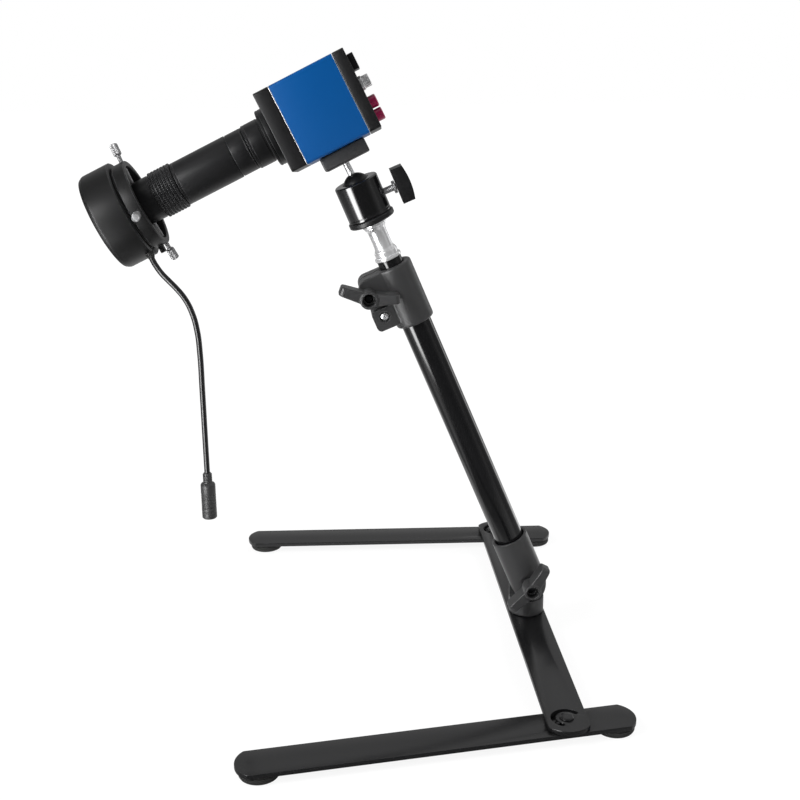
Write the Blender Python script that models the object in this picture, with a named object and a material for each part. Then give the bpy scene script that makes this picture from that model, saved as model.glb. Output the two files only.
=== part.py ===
"""Video microscope on a folding two-legged stand, modelled in metres with +Z up.

The stand, the telescopic pole, the ball head, the camera with its lens and the ring
light are separate pieces. Each moving group hangs on an empty that lies on its joint.
The origin is on the table under the middle of the object.
"""

import math

import bmesh
import bpy
from mathutils import Vector

# Driving dimensions, in metres and degrees
CLEARANCE = 0.0003

BAR_WIDTH = 0.025
BAR_THICKNESS = 0.003
BAR_END_RADIUS = 0.0153
LEG_LENGTH = 0.240
LEG_SHORT_END = 0.043
PIVOT_SPAN = 0.278
NEAR_LEG_ANGLE = 7.3
FAR_LEG_ANGLE = -3.0
FOOT_DIAMETER = 0.024
FOOT_HEIGHT = 0.0052
FOOT_EDGE = 0.0018
FOOT_INSET_LONG = 0.014
FOOT_INSET_SHORT = 0.0125
RIVET_HEAD_DIAMETER = 0.0088
RIVET_HEAD_HEIGHT = 0.0016
RIVET_TAIL_HEIGHT = 0.001
RIVET_DIAMETER = 0.004
STOP_RADIUS = 0.008
STOP_SLOT_WIDTH = 0.003
STOP_SLOT_FROM = 37.5
STOP_SLOT_TO = 240.0
STOP_PIN_ANGLE = 212.0
STOP_PIN_HEAD = 0.0044

HINGE_HEIGHT = 0.0365
PILLAR_DIAMETER = 0.024
KNUCKLE_ROUND = 0.0128
KNUCKLE_SHOULDER_GAP = 0.0004
PILLAR_SCREW_SPACING = 0.013
PILLAR_SCREW_DIAMETER = 0.004
PILLAR_SCREW_HEAD = 0.0075
PILLAR_SCREW_LENGTH = 0.0095
BOLT_DIAMETER = 0.005
BOLT_HEAD_DIAMETER = 0.010
BOLT_HEAD_HEIGHT = 0.0026
SPOT_FACE_DEPTH = 0.0009

SOCKET_DIAMETER = 0.0248
SOCKET_TOP = 0.0337
SOCKET_FLOOR = 0.0155
SOCKET_MOUTH_CHAMFER = 0.0007

KNOB_HUB_DIAMETER = 0.0116
KNOB_HUB_LENGTH = 0.0137
KNOB_EYE_DIAMETER = 0.008
KNOB_EYE_DEPTH = 0.0065
WING_RADIUS = 0.0192
WING_TIP_THICKNESS = 0.0058
WING_ROOT_THICKNESS = 0.0082
WING_RISE = 0.0028
WING_EDGE = 0.0009
WING_ANGLE = 79.5
TILT_KNOB_TURN = 141.0
COLLAR_KNOB_TURN = 58.0

POLE_LEAN = 22.36
OUTER_TUBE_DIAMETER = 0.0194
OUTER_TUBE_WALL = 0.0012
OUTER_TUBE_LENGTH = 0.2057
INNER_TUBE_DIAMETER = 0.0158
INNER_TUBE_WALL = 0.0011
INNER_TUBE_LENGTH = 0.1843
INNER_TUBE_SHOWN = 0.0043

COLLAR_GRIP = 0.0215
COLLAR_HEIGHT = 0.040
COLLAR_DIAMETER = 0.025
COLLAR_EDGE = 0.0012
COLLAR_MOUTH_CHAMFER = 0.0008
COLLAR_SLIT = 0.0018
CLAMP_EAR_REACH = 0.0249
CLAMP_EAR_HEIGHT = 0.020
CLAMP_EAR_THICKNESS = 0.020
CLAMP_EAR_CORNER = 0.006
CLAMP_BOLT_REACH = 0.0212
CLAMP_BOLT_DROP = 0.0105
FIXING_EAR_REACH = 0.0243
FIXING_EAR_RISE = 0.004
FIXING_EAR_HEIGHT = 0.0143
FIXING_EAR_THICKNESS = 0.018
FIXING_EAR_CORNER = 0.003
EAR_EDGE = 0.0006
FIXING_SCREW_REACH = 0.017
FIXING_SCREW_RISE = 0.0123
FIXING_SCREW_HEAD = 0.0053
FIXING_SCREW_DIAMETER = 0.003
FIXING_RECESS_DIAMETER = 0.0066
FIXING_RECESS_DEPTH = 0.0028
FIXING_NUT_WIDTH = 0.0055
FIXING_NUT_HEIGHT = 0.0022

SPIGOT_FLANGE_DIAMETER = 0.0172
SPIGOT_FLANGE_HEIGHT = 0.0019
SPIGOT_BEAD_DIAMETER = 0.0149
SPIGOT_BEAD_HEIGHT = 0.004
SPIGOT_NECK_DIAMETER = 0.0118
SPIGOT_NECK_RISE = 0.0076
SPIGOT_NECK_DROP = 0.0056
SPIGOT_CROWN_DIAMETER = 0.0153
SPIGOT_CROWN_HEIGHT = 0.0028
SPIGOT_HEIGHT = 0.0252
SPIGOT_PLUG_LENGTH = 0.012
SPIGOT_STUD_DIAMETER = 0.006
SPIGOT_STUD_LENGTH = 0.006

HEAD_BASE_DIAMETER = 0.0297
HEAD_BASE_HEIGHT = 0.0035
HOUSING_DIAMETER = 0.0279
HOUSING_HEIGHT = 0.0234
HOUSING_EDGE = 0.0006
BALL_SINK = 0.0042
BALL_DIAMETER = 0.018
CUP_DROP = 0.0065
STEM_DIAMETER = 0.0046
STEM_SEAT = 0.003
STEM_REACH = 0.0225
LOCK_DROP = 0.009
LOCK_SCREW_DIAMETER = 0.004
LOCK_COLLAR_DIAMETER = 0.0082
LOCK_COLLAR_WIDTH = 0.0019
LOCK_KNOB_INNER = 0.022
LOCK_KNOB_THICKNESS = 0.0092
LOCK_KNOB_LENGTH = 0.0224
LOCK_KNOB_WIDTH = 0.0104
LOCK_KNOB_CROWN = 0.0014
LOCK_KNOB_EDGE = 0.001

HEAD_DROP = 25.9
HEAD_ROLL = -8.75
CASE_WIDTH = 0.051
CASE_BOTTOM = 0.0254
CASE_FRONT = 0.0306
FRONT_COVER_LENGTH = 0.010
SHELL_LENGTH = 0.0419
REAR_COVER_LENGTH = 0.0075
CASE_CORNER = 0.0016
SHELL_WALL = 0.002
BOARD_THICKNESS = 0.0016
COVER_CHAMFER = 0.0006
BLOCK_FRONT = 0.0132
BLOCK_LENGTH = 0.030
BLOCK_WIDTH = 0.027
BLOCK_HEIGHT = 0.0086
BLOCK_CORNER = 0.0012

SOCKET_BLOCK_WIDTH = 0.014
SOCKET_BLOCK_HEIGHT = 0.0102
SOCKET_BLOCK_DEPTH = 0.0038
SOCKET_BLOCK_ABOVE = 0.0172
JACK_DIAMETER = 0.0092
JACK_BORE = 0.0056
JACK_LENGTH = 0.0062
JACK_ABOVE = 0.0037
BUTTON_DIAMETER = 0.0079
BUTTON_PROUD = 0.005
BUTTON_SEAT = 0.004
BUTTON_TRAVEL = 0.001
BUTTON_ABOVE = (-0.009, -0.0176)

MOUNT_RING_DIAMETER = 0.0363
MOUNT_RING_LENGTH = 0.0052
MOUNT_THREAD_DIAMETER = 0.0254
MOUNT_THREAD_LENGTH = 0.005
REAR_TUBE_DIAMETER = 0.0282
REAR_TUBE_LENGTH = 0.0117
BARREL_DIAMETER = 0.0275
BARREL_WAIST_DIAMETER = 0.0271
BARREL_WAIST_LENGTH = 0.0107
BARREL_LENGTH = 0.0489
SLEEVE_DIAMETER = 0.023
SLEEVE_LENGTH = 0.0208
LENS_BORE_DIAMETER = 0.019
ZOOM_RING_DIAMETER = 0.0295
ZOOM_RING_LENGTH = 0.0149
ZOOM_RIDGES = 7
ZOOM_RIDGE_DEPTH = 0.0007
NECK_DIAMETER = 0.0277
NECK_LENGTH = 0.0148
GLASS_DIAMETER = 0.0215
GLASS_THICKNESS = 0.0022
GLASS_INSET = 0.002

LIGHT_DIAMETER = 0.0622
LIGHT_GAP = 0.0011
LIGHT_HEIGHT = 0.0219
LIGHT_EDGE = 0.0032
LIGHT_BORE = 0.034
LIGHT_RIM = 0.0018
LIGHT_HUB_WALL = 0.0016
LIGHT_WELL_DEPTH = 0.012
GROOVE_DIAMETER = 0.053
GROOVE_WIDTH = 0.0011
LED_BOARD_THICKNESS = 0.0016
DIFFUSER_DEPTH = 0.0014
DIFFUSER_THICKNESS = 0.002
CLAMP_RING_DIAMETER = 0.056
CLAMP_RING_BORE = 0.049
CLAMP_RING_HEIGHT = 0.0078
CLAMP_RING_FLOOR = 0.0012
CLAMP_BOSS_REACH = 0.032
CLAMP_BOSS_WIDTH = 0.005
CLAMP_BOSS_LENGTH = 0.0032
THUMB_RISE = 0.0035
THUMB_ANGLES = (-12.0, 101.0, 202.0)
THUMB_SCREW_DIAMETER = 0.0028
THUMB_HEAD_DIAMETER = 0.0052
THUMB_HEAD_START = 0.034
THUMB_HEAD_LENGTH = 0.0076
THUMB_HEAD_CHAMFER = 0.0005

GLAND_RISE = 0.0037
GLAND_ANGLE = 160.0
GLAND_DIAMETER = 0.005
GLAND_SEAT = 0.003
GLAND_PROUD = 0.001
CORD_DIAMETER = 0.0036
CORD_POINT_SPACING = 0.0085
COUPLER_DIAMETER = 0.0095
COUPLER_LENGTH = 0.031
COUPLER_EDGE = 0.0008
COUPLER_BORE_DIAMETER = 0.0055
COUPLER_BORE_DEPTH = 0.009
COUPLER_NECK_DIAMETER = 0.0058
COUPLER_NECK_LENGTH = 0.007

LARGE_STEPS = 28
MEDIUM_STEPS = 20
SMALL_STEPS = 12
TINY_STEPS = 10

# Places worked out from the dimensions above
LEG_BOTTOM = FOOT_HEIGHT + CLEARANCE
CROSSBAR_BOTTOM = LEG_BOTTOM + BAR_THICKNESS + CLEARANCE
CROSSBAR_TOP = CROSSBAR_BOTTOM + BAR_THICKNESS
SHOULDER = KNUCKLE_ROUND + KNUCKLE_SHOULDER_GAP
OUTER_TUBE_BOTTOM = SOCKET_FLOOR + CLEARANCE
OUTER_TUBE_TOP = OUTER_TUBE_BOTTOM + OUTER_TUBE_LENGTH
COLLAR_BOTTOM = OUTER_TUBE_TOP - COLLAR_GRIP
COLLAR_TOP = COLLAR_BOTTOM + COLLAR_HEIGHT
CLAMP_BOLT_STATION = COLLAR_TOP - CLAMP_BOLT_DROP
FIXING_EAR_BOTTOM = COLLAR_BOTTOM + FIXING_EAR_RISE
FIXING_SCREW_STATION = COLLAR_BOTTOM + FIXING_SCREW_RISE
INNER_TUBE_TOP = COLLAR_TOP + INNER_TUBE_SHOWN
INNER_TUBE_BOTTOM = INNER_TUBE_TOP - INNER_TUBE_LENGTH
SPIGOT_SEAT = INNER_TUBE_TOP + CLEARANCE
SPIGOT_TOP = SPIGOT_SEAT + SPIGOT_HEIGHT
HEAD_BASE_BOTTOM = SPIGOT_TOP + CLEARANCE
HEAD_BASE_TOP = HEAD_BASE_BOTTOM + HEAD_BASE_HEIGHT
HOUSING_BOTTOM = HEAD_BASE_TOP + CLEARANCE
HOUSING_TOP = HOUSING_BOTTOM + HOUSING_HEIGHT
BALL_STATION = HOUSING_TOP - BALL_SINK
CUP_TOP = BALL_STATION - CUP_DROP
OPTICAL_HEIGHT = CASE_BOTTOM + CASE_WIDTH / 2
SHELL_FRONT = CASE_FRONT - FRONT_COVER_LENGTH - CLEARANCE
SHELL_REAR = SHELL_FRONT - SHELL_LENGTH
COVER_REAR_FACE = SHELL_REAR - CLEARANCE - REAR_COVER_LENGTH
MOUNT_RING_REAR = CASE_FRONT + CLEARANCE
MOUNT_RING_FRONT = MOUNT_RING_REAR + MOUNT_RING_LENGTH
REAR_TUBE_START = MOUNT_RING_FRONT + CLEARANCE
REAR_TUBE_END = REAR_TUBE_START + REAR_TUBE_LENGTH
BARREL_START = REAR_TUBE_END + CLEARANCE
BARREL_END = BARREL_START + BARREL_LENGTH
SLEEVE_END = BARREL_END + SLEEVE_LENGTH
ZOOM_RING_START = BARREL_END + CLEARANCE
ZOOM_RING_END = ZOOM_RING_START + ZOOM_RING_LENGTH
NECK_START = ZOOM_RING_END + CLEARANCE
NECK_END = NECK_START + NECK_LENGTH
LIGHT_REAR = NECK_END + LIGHT_GAP
LIGHT_FRONT = LIGHT_REAR + LIGHT_HEIGHT
CLAMP_RING_FRONT = LIGHT_REAR - CLEARANCE
CLAMP_RING_REAR = CLAMP_RING_FRONT - CLAMP_RING_HEIGHT
THUMB_STATION = CLAMP_RING_REAR + THUMB_RISE
GLAND_STATION = LIGHT_REAR + GLAND_RISE


def clear_scene():
    """Remove whatever the scene holds."""
    for item in list(bpy.data.objects):
        bpy.data.objects.remove(item, do_unlink=True)


def finish(name, colour, roughness, metallic=0.0, transmission=0.0):
    """A plain material, made once and shared by name."""
    found = bpy.data.materials.get(name)
    if found:
        return found
    made = bpy.data.materials.new(name)
    made.use_nodes = True
    shader = made.node_tree.nodes["Principled BSDF"]
    shader.inputs["Base Color"].default_value = (*colour, 1.0)
    shader.inputs["Roughness"].default_value = roughness
    shader.inputs["Metallic"].default_value = metallic
    shader.inputs["Transmission Weight"].default_value = transmission
    made.diffuse_color = (*colour, 1.0)
    return made


def powder_black():
    return finish("powder_black", (0.028, 0.028, 0.029), 0.55)


def moulded_black():
    return finish("moulded_black", (0.045, 0.045, 0.046), 0.6)


def tube_black():
    return finish("tube_black", (0.014, 0.014, 0.015), 0.3)


def anodised_black():
    return finish("anodised_black", (0.012, 0.012, 0.013), 0.35, 0.4)


def rubber_black():
    return finish("rubber_black", (0.03, 0.03, 0.03), 0.8)


def polished_steel():
    return finish("polished_steel", (0.78, 0.78, 0.79), 0.15, 1.0)


def plated_steel():
    return finish("plated_steel", (0.5, 0.5, 0.51), 0.35, 1.0)


def frame_at(name, parent, location=(0.0, 0.0, 0.0), turn=(0.0, 0.0, 0.0)):
    """An empty that carries other pieces; turn is in degrees about X, then Y, then Z."""
    empty = bpy.data.objects.new(name, None)
    bpy.context.scene.collection.objects.link(empty)
    empty.empty_display_size = 0.01
    empty.parent = parent
    empty.location = location
    empty.rotation_euler = [math.radians(angle) for angle in turn]
    return empty


def mesh_from(work, name, sharp_angle=35.0):
    """Turn a bmesh into a mesh with outward faces and smooth round sides."""
    bmesh.ops.recalc_face_normals(work, faces=work.faces)
    mesh = bpy.data.meshes.new(name)
    work.to_mesh(mesh)
    work.free()
    mesh.shade_smooth()
    mesh.set_sharp_from_angle(angle=math.radians(sharp_angle))
    return mesh


def piece(name, mesh, look, parent, location=(0.0, 0.0, 0.0), turn=(0.0, 0.0, 0.0)):
    """Place a mesh as one named sub-part."""
    made = bpy.data.objects.new(name, mesh)
    bpy.context.scene.collection.objects.link(made)
    if look:
        mesh.materials.append(look)
    made.parent = parent
    made.location = location
    made.rotation_euler = [math.radians(angle) for angle in turn]
    return made


def shape_tool(mesh, parent, location=(0.0, 0.0, 0.0), turn=(0.0, 0.0, 0.0)):
    """A shape that only joins or cuts another piece."""
    tool = piece(mesh.name, mesh, None, parent, location, turn)
    tool.hide_render = True
    tool.display_type = "WIRE"
    return tool


def combine(target, tool, operation):
    """Join, cut or intersect a piece with a tool."""
    step = target.modifiers.new(operation.title(), "BOOLEAN")
    step.operation = operation
    step.solver = "EXACT"
    step.object = tool


def turned(name, outline, steps):
    """A solid turned about local Z from (radius, height) points, open on the axis or a closed ring."""
    work = bmesh.new()
    corners = [work.verts.new((radius, 0.0, height)) for radius, height in outline]
    edges = [work.edges.new(pair) for pair in zip(corners, corners[1:])]
    if outline[0][0] > 0.0 or outline[-1][0] > 0.0:
        edges.append(work.edges.new((corners[-1], corners[0])))
    bmesh.ops.spin(
        work,
        geom=corners + edges,
        cent=(0.0, 0.0, 0.0),
        axis=(0.0, 0.0, 1.0),
        angle=math.tau,
        steps=steps,
        use_merge=True,
    )
    bmesh.ops.remove_doubles(work, verts=work.verts, dist=0.000002)
    return mesh_from(work, name)


def extruded(name, outline, depth, bevel=0.0):
    """A prism on local Z from a flat outline, its end edges bevelled if asked."""
    work = bmesh.new()
    face = work.faces.new([work.verts.new((x, y, 0.0)) for x, y in outline])
    grown = bmesh.ops.extrude_face_region(work, geom=[face])
    moved = [item for item in grown["geom"] if isinstance(item, bmesh.types.BMVert)]
    bmesh.ops.translate(work, verts=moved, vec=(0.0, 0.0, depth))
    if bevel:
        rims = [edge for edge in work.edges if abs(edge.verts[0].co.z - edge.verts[1].co.z) < 1e-7]
        bmesh.ops.bevel(work, geom=rims, offset=bevel, segments=1, affect="EDGES")
    return mesh_from(work, name)


def block(name, size, bevel=0.0, segments=2):
    """A box centred on its origin, all its edges rounded if asked."""
    work = bmesh.new()
    bmesh.ops.create_cube(work, size=1.0)
    bmesh.ops.scale(work, verts=work.verts, vec=size)
    if bevel:
        bmesh.ops.bevel(work, geom=work.edges[:], offset=bevel, segments=segments, affect="EDGES")
    return mesh_from(work, name)


def rod(name, diameter, start, end, steps):
    """A plain cylinder on local Z."""
    radius = diameter / 2
    return turned(name, [(0.0, end), (radius, end), (radius, start), (0.0, start)], steps)


def arc(centre, radius, start, end, count):
    """Points along a circular arc, both ends included; angles in degrees."""
    points = []
    for index in range(count + 1):
        angle = math.radians(start + (end - start) * index / count)
        points.append((centre[0] + radius * math.cos(angle), centre[1] + radius * math.sin(angle)))
    return points


def rounded_rectangle(left, bottom, right, top, radius, count=4):
    """Outline of a rectangle with round corners."""
    outline = arc((right - radius, bottom + radius), radius, -90, 0, count)
    outline += arc((right - radius, top - radius), radius, 0, 90, count)
    outline += arc((left + radius, top - radius), radius, 90, 180, count)
    outline += arc((left + radius, bottom + radius), radius, 180, 270, count)
    return outline


def bar_outline(left, right):
    """A flat bar along X with wide round ends that leave a corner at each edge."""
    half_angle = math.degrees(math.asin(BAR_WIDTH / 2 / BAR_END_RADIUS))
    outline = arc((right - BAR_END_RADIUS, 0.0), BAR_END_RADIUS, -half_angle, half_angle, 10)
    outline += arc((left + BAR_END_RADIUS, 0.0), BAR_END_RADIUS, 180 - half_angle, 180 + half_angle, 10)
    return outline


def slot_outline(radius, width, start, end):
    """A slot bent round the origin, with round ends."""
    outline = []
    for angle, side, away in ((start, 1, end), (end, -1, start)):
        turn = math.radians(away)
        middle = (radius * math.cos(turn), radius * math.sin(turn))
        first = away if side > 0 else away + 180
        outline += arc((0.0, 0.0), radius + side * width / 2, angle, away, 14)
        outline += arc(middle, width / 2, first, first + 180, 6)[1:-1]
    return outline


def smooth_route(points, spacing):
    """Points at even spacing along a Catmull-Rom curve through the given points."""
    knots = [Vector(point) for point in points]
    knots = [2 * knots[0] - knots[1], *knots, 2 * knots[-1] - knots[-2]]
    fine = [knots[1]]
    for before, first, second, after in zip(knots, knots[1:], knots[2:], knots[3:]):
        for index in range(1, 41):
            t = index / 40
            fine.append(
                0.5
                * (
                    2 * first
                    + (second - before) * t
                    + (2 * before - 5 * first + 4 * second - after) * t**2
                    + (3 * first - before - 3 * second + after) * t**3
                )
            )
    length = sum((b - a).length for a, b in zip(fine, fine[1:]))
    count = round(length / spacing)
    wanted = [length * index / count for index in range(1, count)]
    route = [fine[0]]
    walked = 0.0
    for start, end in zip(fine, fine[1:]):
        stretch = (end - start).length
        while wanted and walked + stretch >= wanted[0]:
            route.append(start.lerp(end, (wanted.pop(0) - walked) / stretch))
        walked += stretch
    return [*route, fine[-1]]


def build_crossbar(stand):
    """The flat bar under the pole, with a stop slot round each leg pivot."""
    reach = PIVOT_SPAN / 2 + BAR_END_RADIUS
    bar = piece(
        "crossbar",
        extruded("crossbar", bar_outline(-reach, reach), BAR_THICKNESS, 0.0004),
        powder_black(),
        stand,
        (0.0, 0.0, CROSSBAR_BOTTOM),
        (0.0, 0.0, 90.0),
    )
    for side in (-1, 1):
        place = (0.0, side * PIVOT_SPAN / 2, CROSSBAR_BOTTOM - BAR_THICKNESS)
        slot = extruded(
            "stop_slot_tool",
            slot_outline(STOP_RADIUS, STOP_SLOT_WIDTH, STOP_SLOT_FROM, STOP_SLOT_TO),
            3 * BAR_THICKNESS,
        )
        combine(bar, shape_tool(slot, stand, place), "DIFFERENCE")
        hole = rod("rivet_hole_tool", RIVET_DIAMETER + 2 * CLEARANCE, 0.0, 3 * BAR_THICKNESS, SMALL_STEPS)
        combine(bar, shape_tool(hole, stand, place), "DIFFERENCE")
        sink = turned(
            "countersink_tool",
            [
                (0.0, 3 * BAR_THICKNESS),
                (PILLAR_SCREW_DIAMETER / 2 + CLEARANCE, 3 * BAR_THICKNESS),
                (PILLAR_SCREW_DIAMETER / 2 + CLEARANCE, BAR_THICKNESS + screw_cone()),
                (PILLAR_SCREW_HEAD / 2 + CLEARANCE, BAR_THICKNESS),
                (PILLAR_SCREW_HEAD / 2 + CLEARANCE, 0.0),
                (0.0, 0.0),
            ],
            SMALL_STEPS,
        )
        spot = (0.0, side * PILLAR_SCREW_SPACING / 2, CROSSBAR_BOTTOM - BAR_THICKNESS)
        combine(bar, shape_tool(sink, stand, spot), "DIFFERENCE")


def screw_cone():
    """Height of the countersunk head of a pillar screw."""
    return (PILLAR_SCREW_HEAD - PILLAR_SCREW_DIAMETER) / 2


def build_leg(name, stand, side, angle):
    """One leg with its stop pin and two rubber feet, turning about its rivet."""
    pivot = frame_at(f"{name}_pivot", stand, (0.0, side * PIVOT_SPAN / 2, 0.0), (0.0, 0.0, angle))
    long_end = LEG_SHORT_END - LEG_LENGTH
    leg = piece(
        name,
        extruded(name, bar_outline(long_end, LEG_SHORT_END), BAR_THICKNESS, 0.0004),
        powder_black(),
        pivot,
        (0.0, 0.0, LEG_BOTTOM),
    )
    below = LEG_BOTTOM - BAR_THICKNESS
    hole = rod("leg_rivet_hole_tool", RIVET_DIAMETER + 2 * CLEARANCE, 0.0, 3 * BAR_THICKNESS, SMALL_STEPS)
    combine(leg, shape_tool(hole, pivot, (0.0, 0.0, below)), "DIFFERENCE")
    turn = math.radians(STOP_PIN_ANGLE)
    pin_place = (STOP_RADIUS * math.cos(turn), STOP_RADIUS * math.sin(turn), 0.0)
    pin_diameter = STOP_SLOT_WIDTH - 2 * CLEARANCE
    hole = rod("pin_hole_tool", pin_diameter + 2 * CLEARANCE, 0.0, 3 * BAR_THICKNESS, TINY_STEPS)
    combine(leg, shape_tool(hole, pivot, (pin_place[0], pin_place[1], below)), "DIFFERENCE")
    pin_radius = pin_diameter / 2
    pin = turned(
        f"{name}_stop_pin",
        [
            (0.0, CROSSBAR_TOP),
            (pin_radius, CROSSBAR_TOP),
            (pin_radius, LEG_BOTTOM - CLEARANCE),
            (STOP_PIN_HEAD / 2, LEG_BOTTOM - CLEARANCE),
            (STOP_PIN_HEAD / 2, LEG_BOTTOM - CLEARANCE - RIVET_TAIL_HEIGHT),
            (0.0, LEG_BOTTOM - CLEARANCE - RIVET_TAIL_HEIGHT),
        ],
        TINY_STEPS,
    )
    piece(f"{name}_stop_pin", pin, plated_steel(), pivot, pin_place)
    foot_places = {"left": long_end + FOOT_INSET_LONG, "right": LEG_SHORT_END - FOOT_INSET_SHORT}
    for end, place in foot_places.items():
        radius = FOOT_DIAMETER / 2
        outline = [(0.0, FOOT_HEIGHT), (radius, FOOT_HEIGHT)]
        outline += arc((radius - FOOT_EDGE, FOOT_EDGE), FOOT_EDGE, 0, -90, 3)
        outline += [(0.0, 0.0)]
        foot = turned(f"{name}_{end}_foot", outline, MEDIUM_STEPS)
        piece(f"{name}_{end}_foot", foot, rubber_black(), pivot, (place, 0.0, 0.0))
    return pivot


def build_rivet(name, stand, side):
    """A domed rivet that joins a leg to the crossbar."""
    head = RIVET_HEAD_DIAMETER / 2
    shank = RIVET_DIAMETER / 2
    seat = CROSSBAR_TOP + CLEARANCE
    tail = LEG_BOTTOM - CLEARANCE
    rise = RIVET_HEAD_HEIGHT
    outline = [(0.0, seat + rise), (head * 0.45, seat + rise * 0.9), (head * 0.8, seat + rise * 0.6)]
    outline += [(head, seat + rise * 0.2), (head, seat), (shank, seat), (shank, tail)]
    outline += [(head, tail), (head, tail - RIVET_TAIL_HEIGHT), (0.0, tail - RIVET_TAIL_HEIGHT)]
    rivet = turned(name, outline, SMALL_STEPS)
    piece(name, rivet, powder_black(), stand, (0.0, side * PIVOT_SPAN / 2, 0.0))


def lap_profile(reach):
    """Side view of a knuckle half: round about the hinge, straight away from it."""
    return arc((0.0, 0.0), KNUCKLE_ROUND, 0, 180, 16) + [
        (-KNUCKLE_ROUND, -reach), (KNUCKLE_ROUND, -reach)
    ]


def build_pillar(stand):
    """The post on the crossbar, its upper half cut away beside the tilting socket."""
    foot = CROSSBAR_TOP + CLEARANCE - HINGE_HEIGHT
    hinge = frame_at("pillar_hinge", stand, (0.0, 0.0, HINGE_HEIGHT))
    pillar = piece(
        "knuckle_pillar",
        rod("knuckle_pillar", PILLAR_DIAMETER, foot, 1.5 * KNUCKLE_ROUND, LARGE_STEPS),
        moulded_black(),
        hinge,
    )
    side_view = extruded("pillar_side_tool", lap_profile(2 * HINGE_HEIGHT), 2 * PILLAR_DIAMETER)
    tool = shape_tool(side_view, hinge, (0.0, PILLAR_DIAMETER, 0.0), (90.0, 0.0, 0.0))
    combine(pillar, tool, "INTERSECT")
    notch_height = 3 * KNUCKLE_ROUND
    notch = block("pillar_notch_tool", (2 * PILLAR_DIAMETER, PILLAR_DIAMETER, notch_height))
    notch_place = (0.0, (CLEARANCE - PILLAR_DIAMETER) / 2, notch_height / 2 - SHOULDER)
    combine(pillar, shape_tool(notch, hinge, notch_place), "DIFFERENCE")
    bore = rod(
        "pillar_bolt_tool",
        BOLT_DIAMETER + 2 * CLEARANCE,
        -PILLAR_DIAMETER,
        PILLAR_DIAMETER,
        SMALL_STEPS,
    )
    combine(pillar, shape_tool(bore, hinge, turn=(90.0, 0.0, 0.0)), "DIFFERENCE")
    face = PILLAR_DIAMETER / 2 - SPOT_FACE_DEPTH
    seat = rod("pillar_spot_tool", BOLT_HEAD_DIAMETER + 4 * CLEARANCE, face, PILLAR_DIAMETER, SMALL_STEPS)
    combine(pillar, shape_tool(seat, hinge, turn=(-90.0, 0.0, 0.0)), "DIFFERENCE")
    for side in (-1, 1):
        name = f"pillar_screw_{'near' if side < 0 else 'far'}"
        spot = (0.0, side * PILLAR_SCREW_SPACING / 2, CROSSBAR_BOTTOM)
        depth = PILLAR_SCREW_LENGTH + CLEARANCE
        hole = rod(f"{name}_tool", PILLAR_SCREW_DIAMETER + 2 * CLEARANCE, 0.0, depth, TINY_STEPS)
        combine(pillar, shape_tool(hole, stand, spot), "DIFFERENCE")
        shank = PILLAR_SCREW_DIAMETER / 2
        outline = [(0.0, PILLAR_SCREW_LENGTH), (shank, PILLAR_SCREW_LENGTH), (shank, screw_cone())]
        outline += [(PILLAR_SCREW_HEAD / 2, 0.0), (0.0, 0.0)]
        piece(name, turned(name, outline, TINY_STEPS), plated_steel(), stand, spot)
    return hinge


def build_tilt_bolt(hinge):
    """The cross bolt of the knuckle, its head sunk in the far side."""
    seat = PILLAR_DIAMETER / 2 - SPOT_FACE_DEPTH + CLEARANCE
    tip = SOCKET_DIAMETER / 2 - SPOT_FACE_DEPTH + KNOB_HUB_LENGTH - KNOB_EYE_DEPTH + 0.001
    shank = BOLT_DIAMETER / 2
    outline = [(0.0, seat + BOLT_HEAD_HEIGHT), (BOLT_HEAD_DIAMETER * 0.4, seat + BOLT_HEAD_HEIGHT)]
    outline += [(BOLT_HEAD_DIAMETER / 2, seat + BOLT_HEAD_HEIGHT * 0.6), (BOLT_HEAD_DIAMETER / 2, seat)]
    outline += [(shank, seat), (shank, -tip), (0.0, -tip)]
    piece(
        "tilt_bolt",
        turned("tilt_bolt", outline, SMALL_STEPS),
        plated_steel(),
        hinge,
        turn=(-90.0, 0.0, 0.0),
    )


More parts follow.
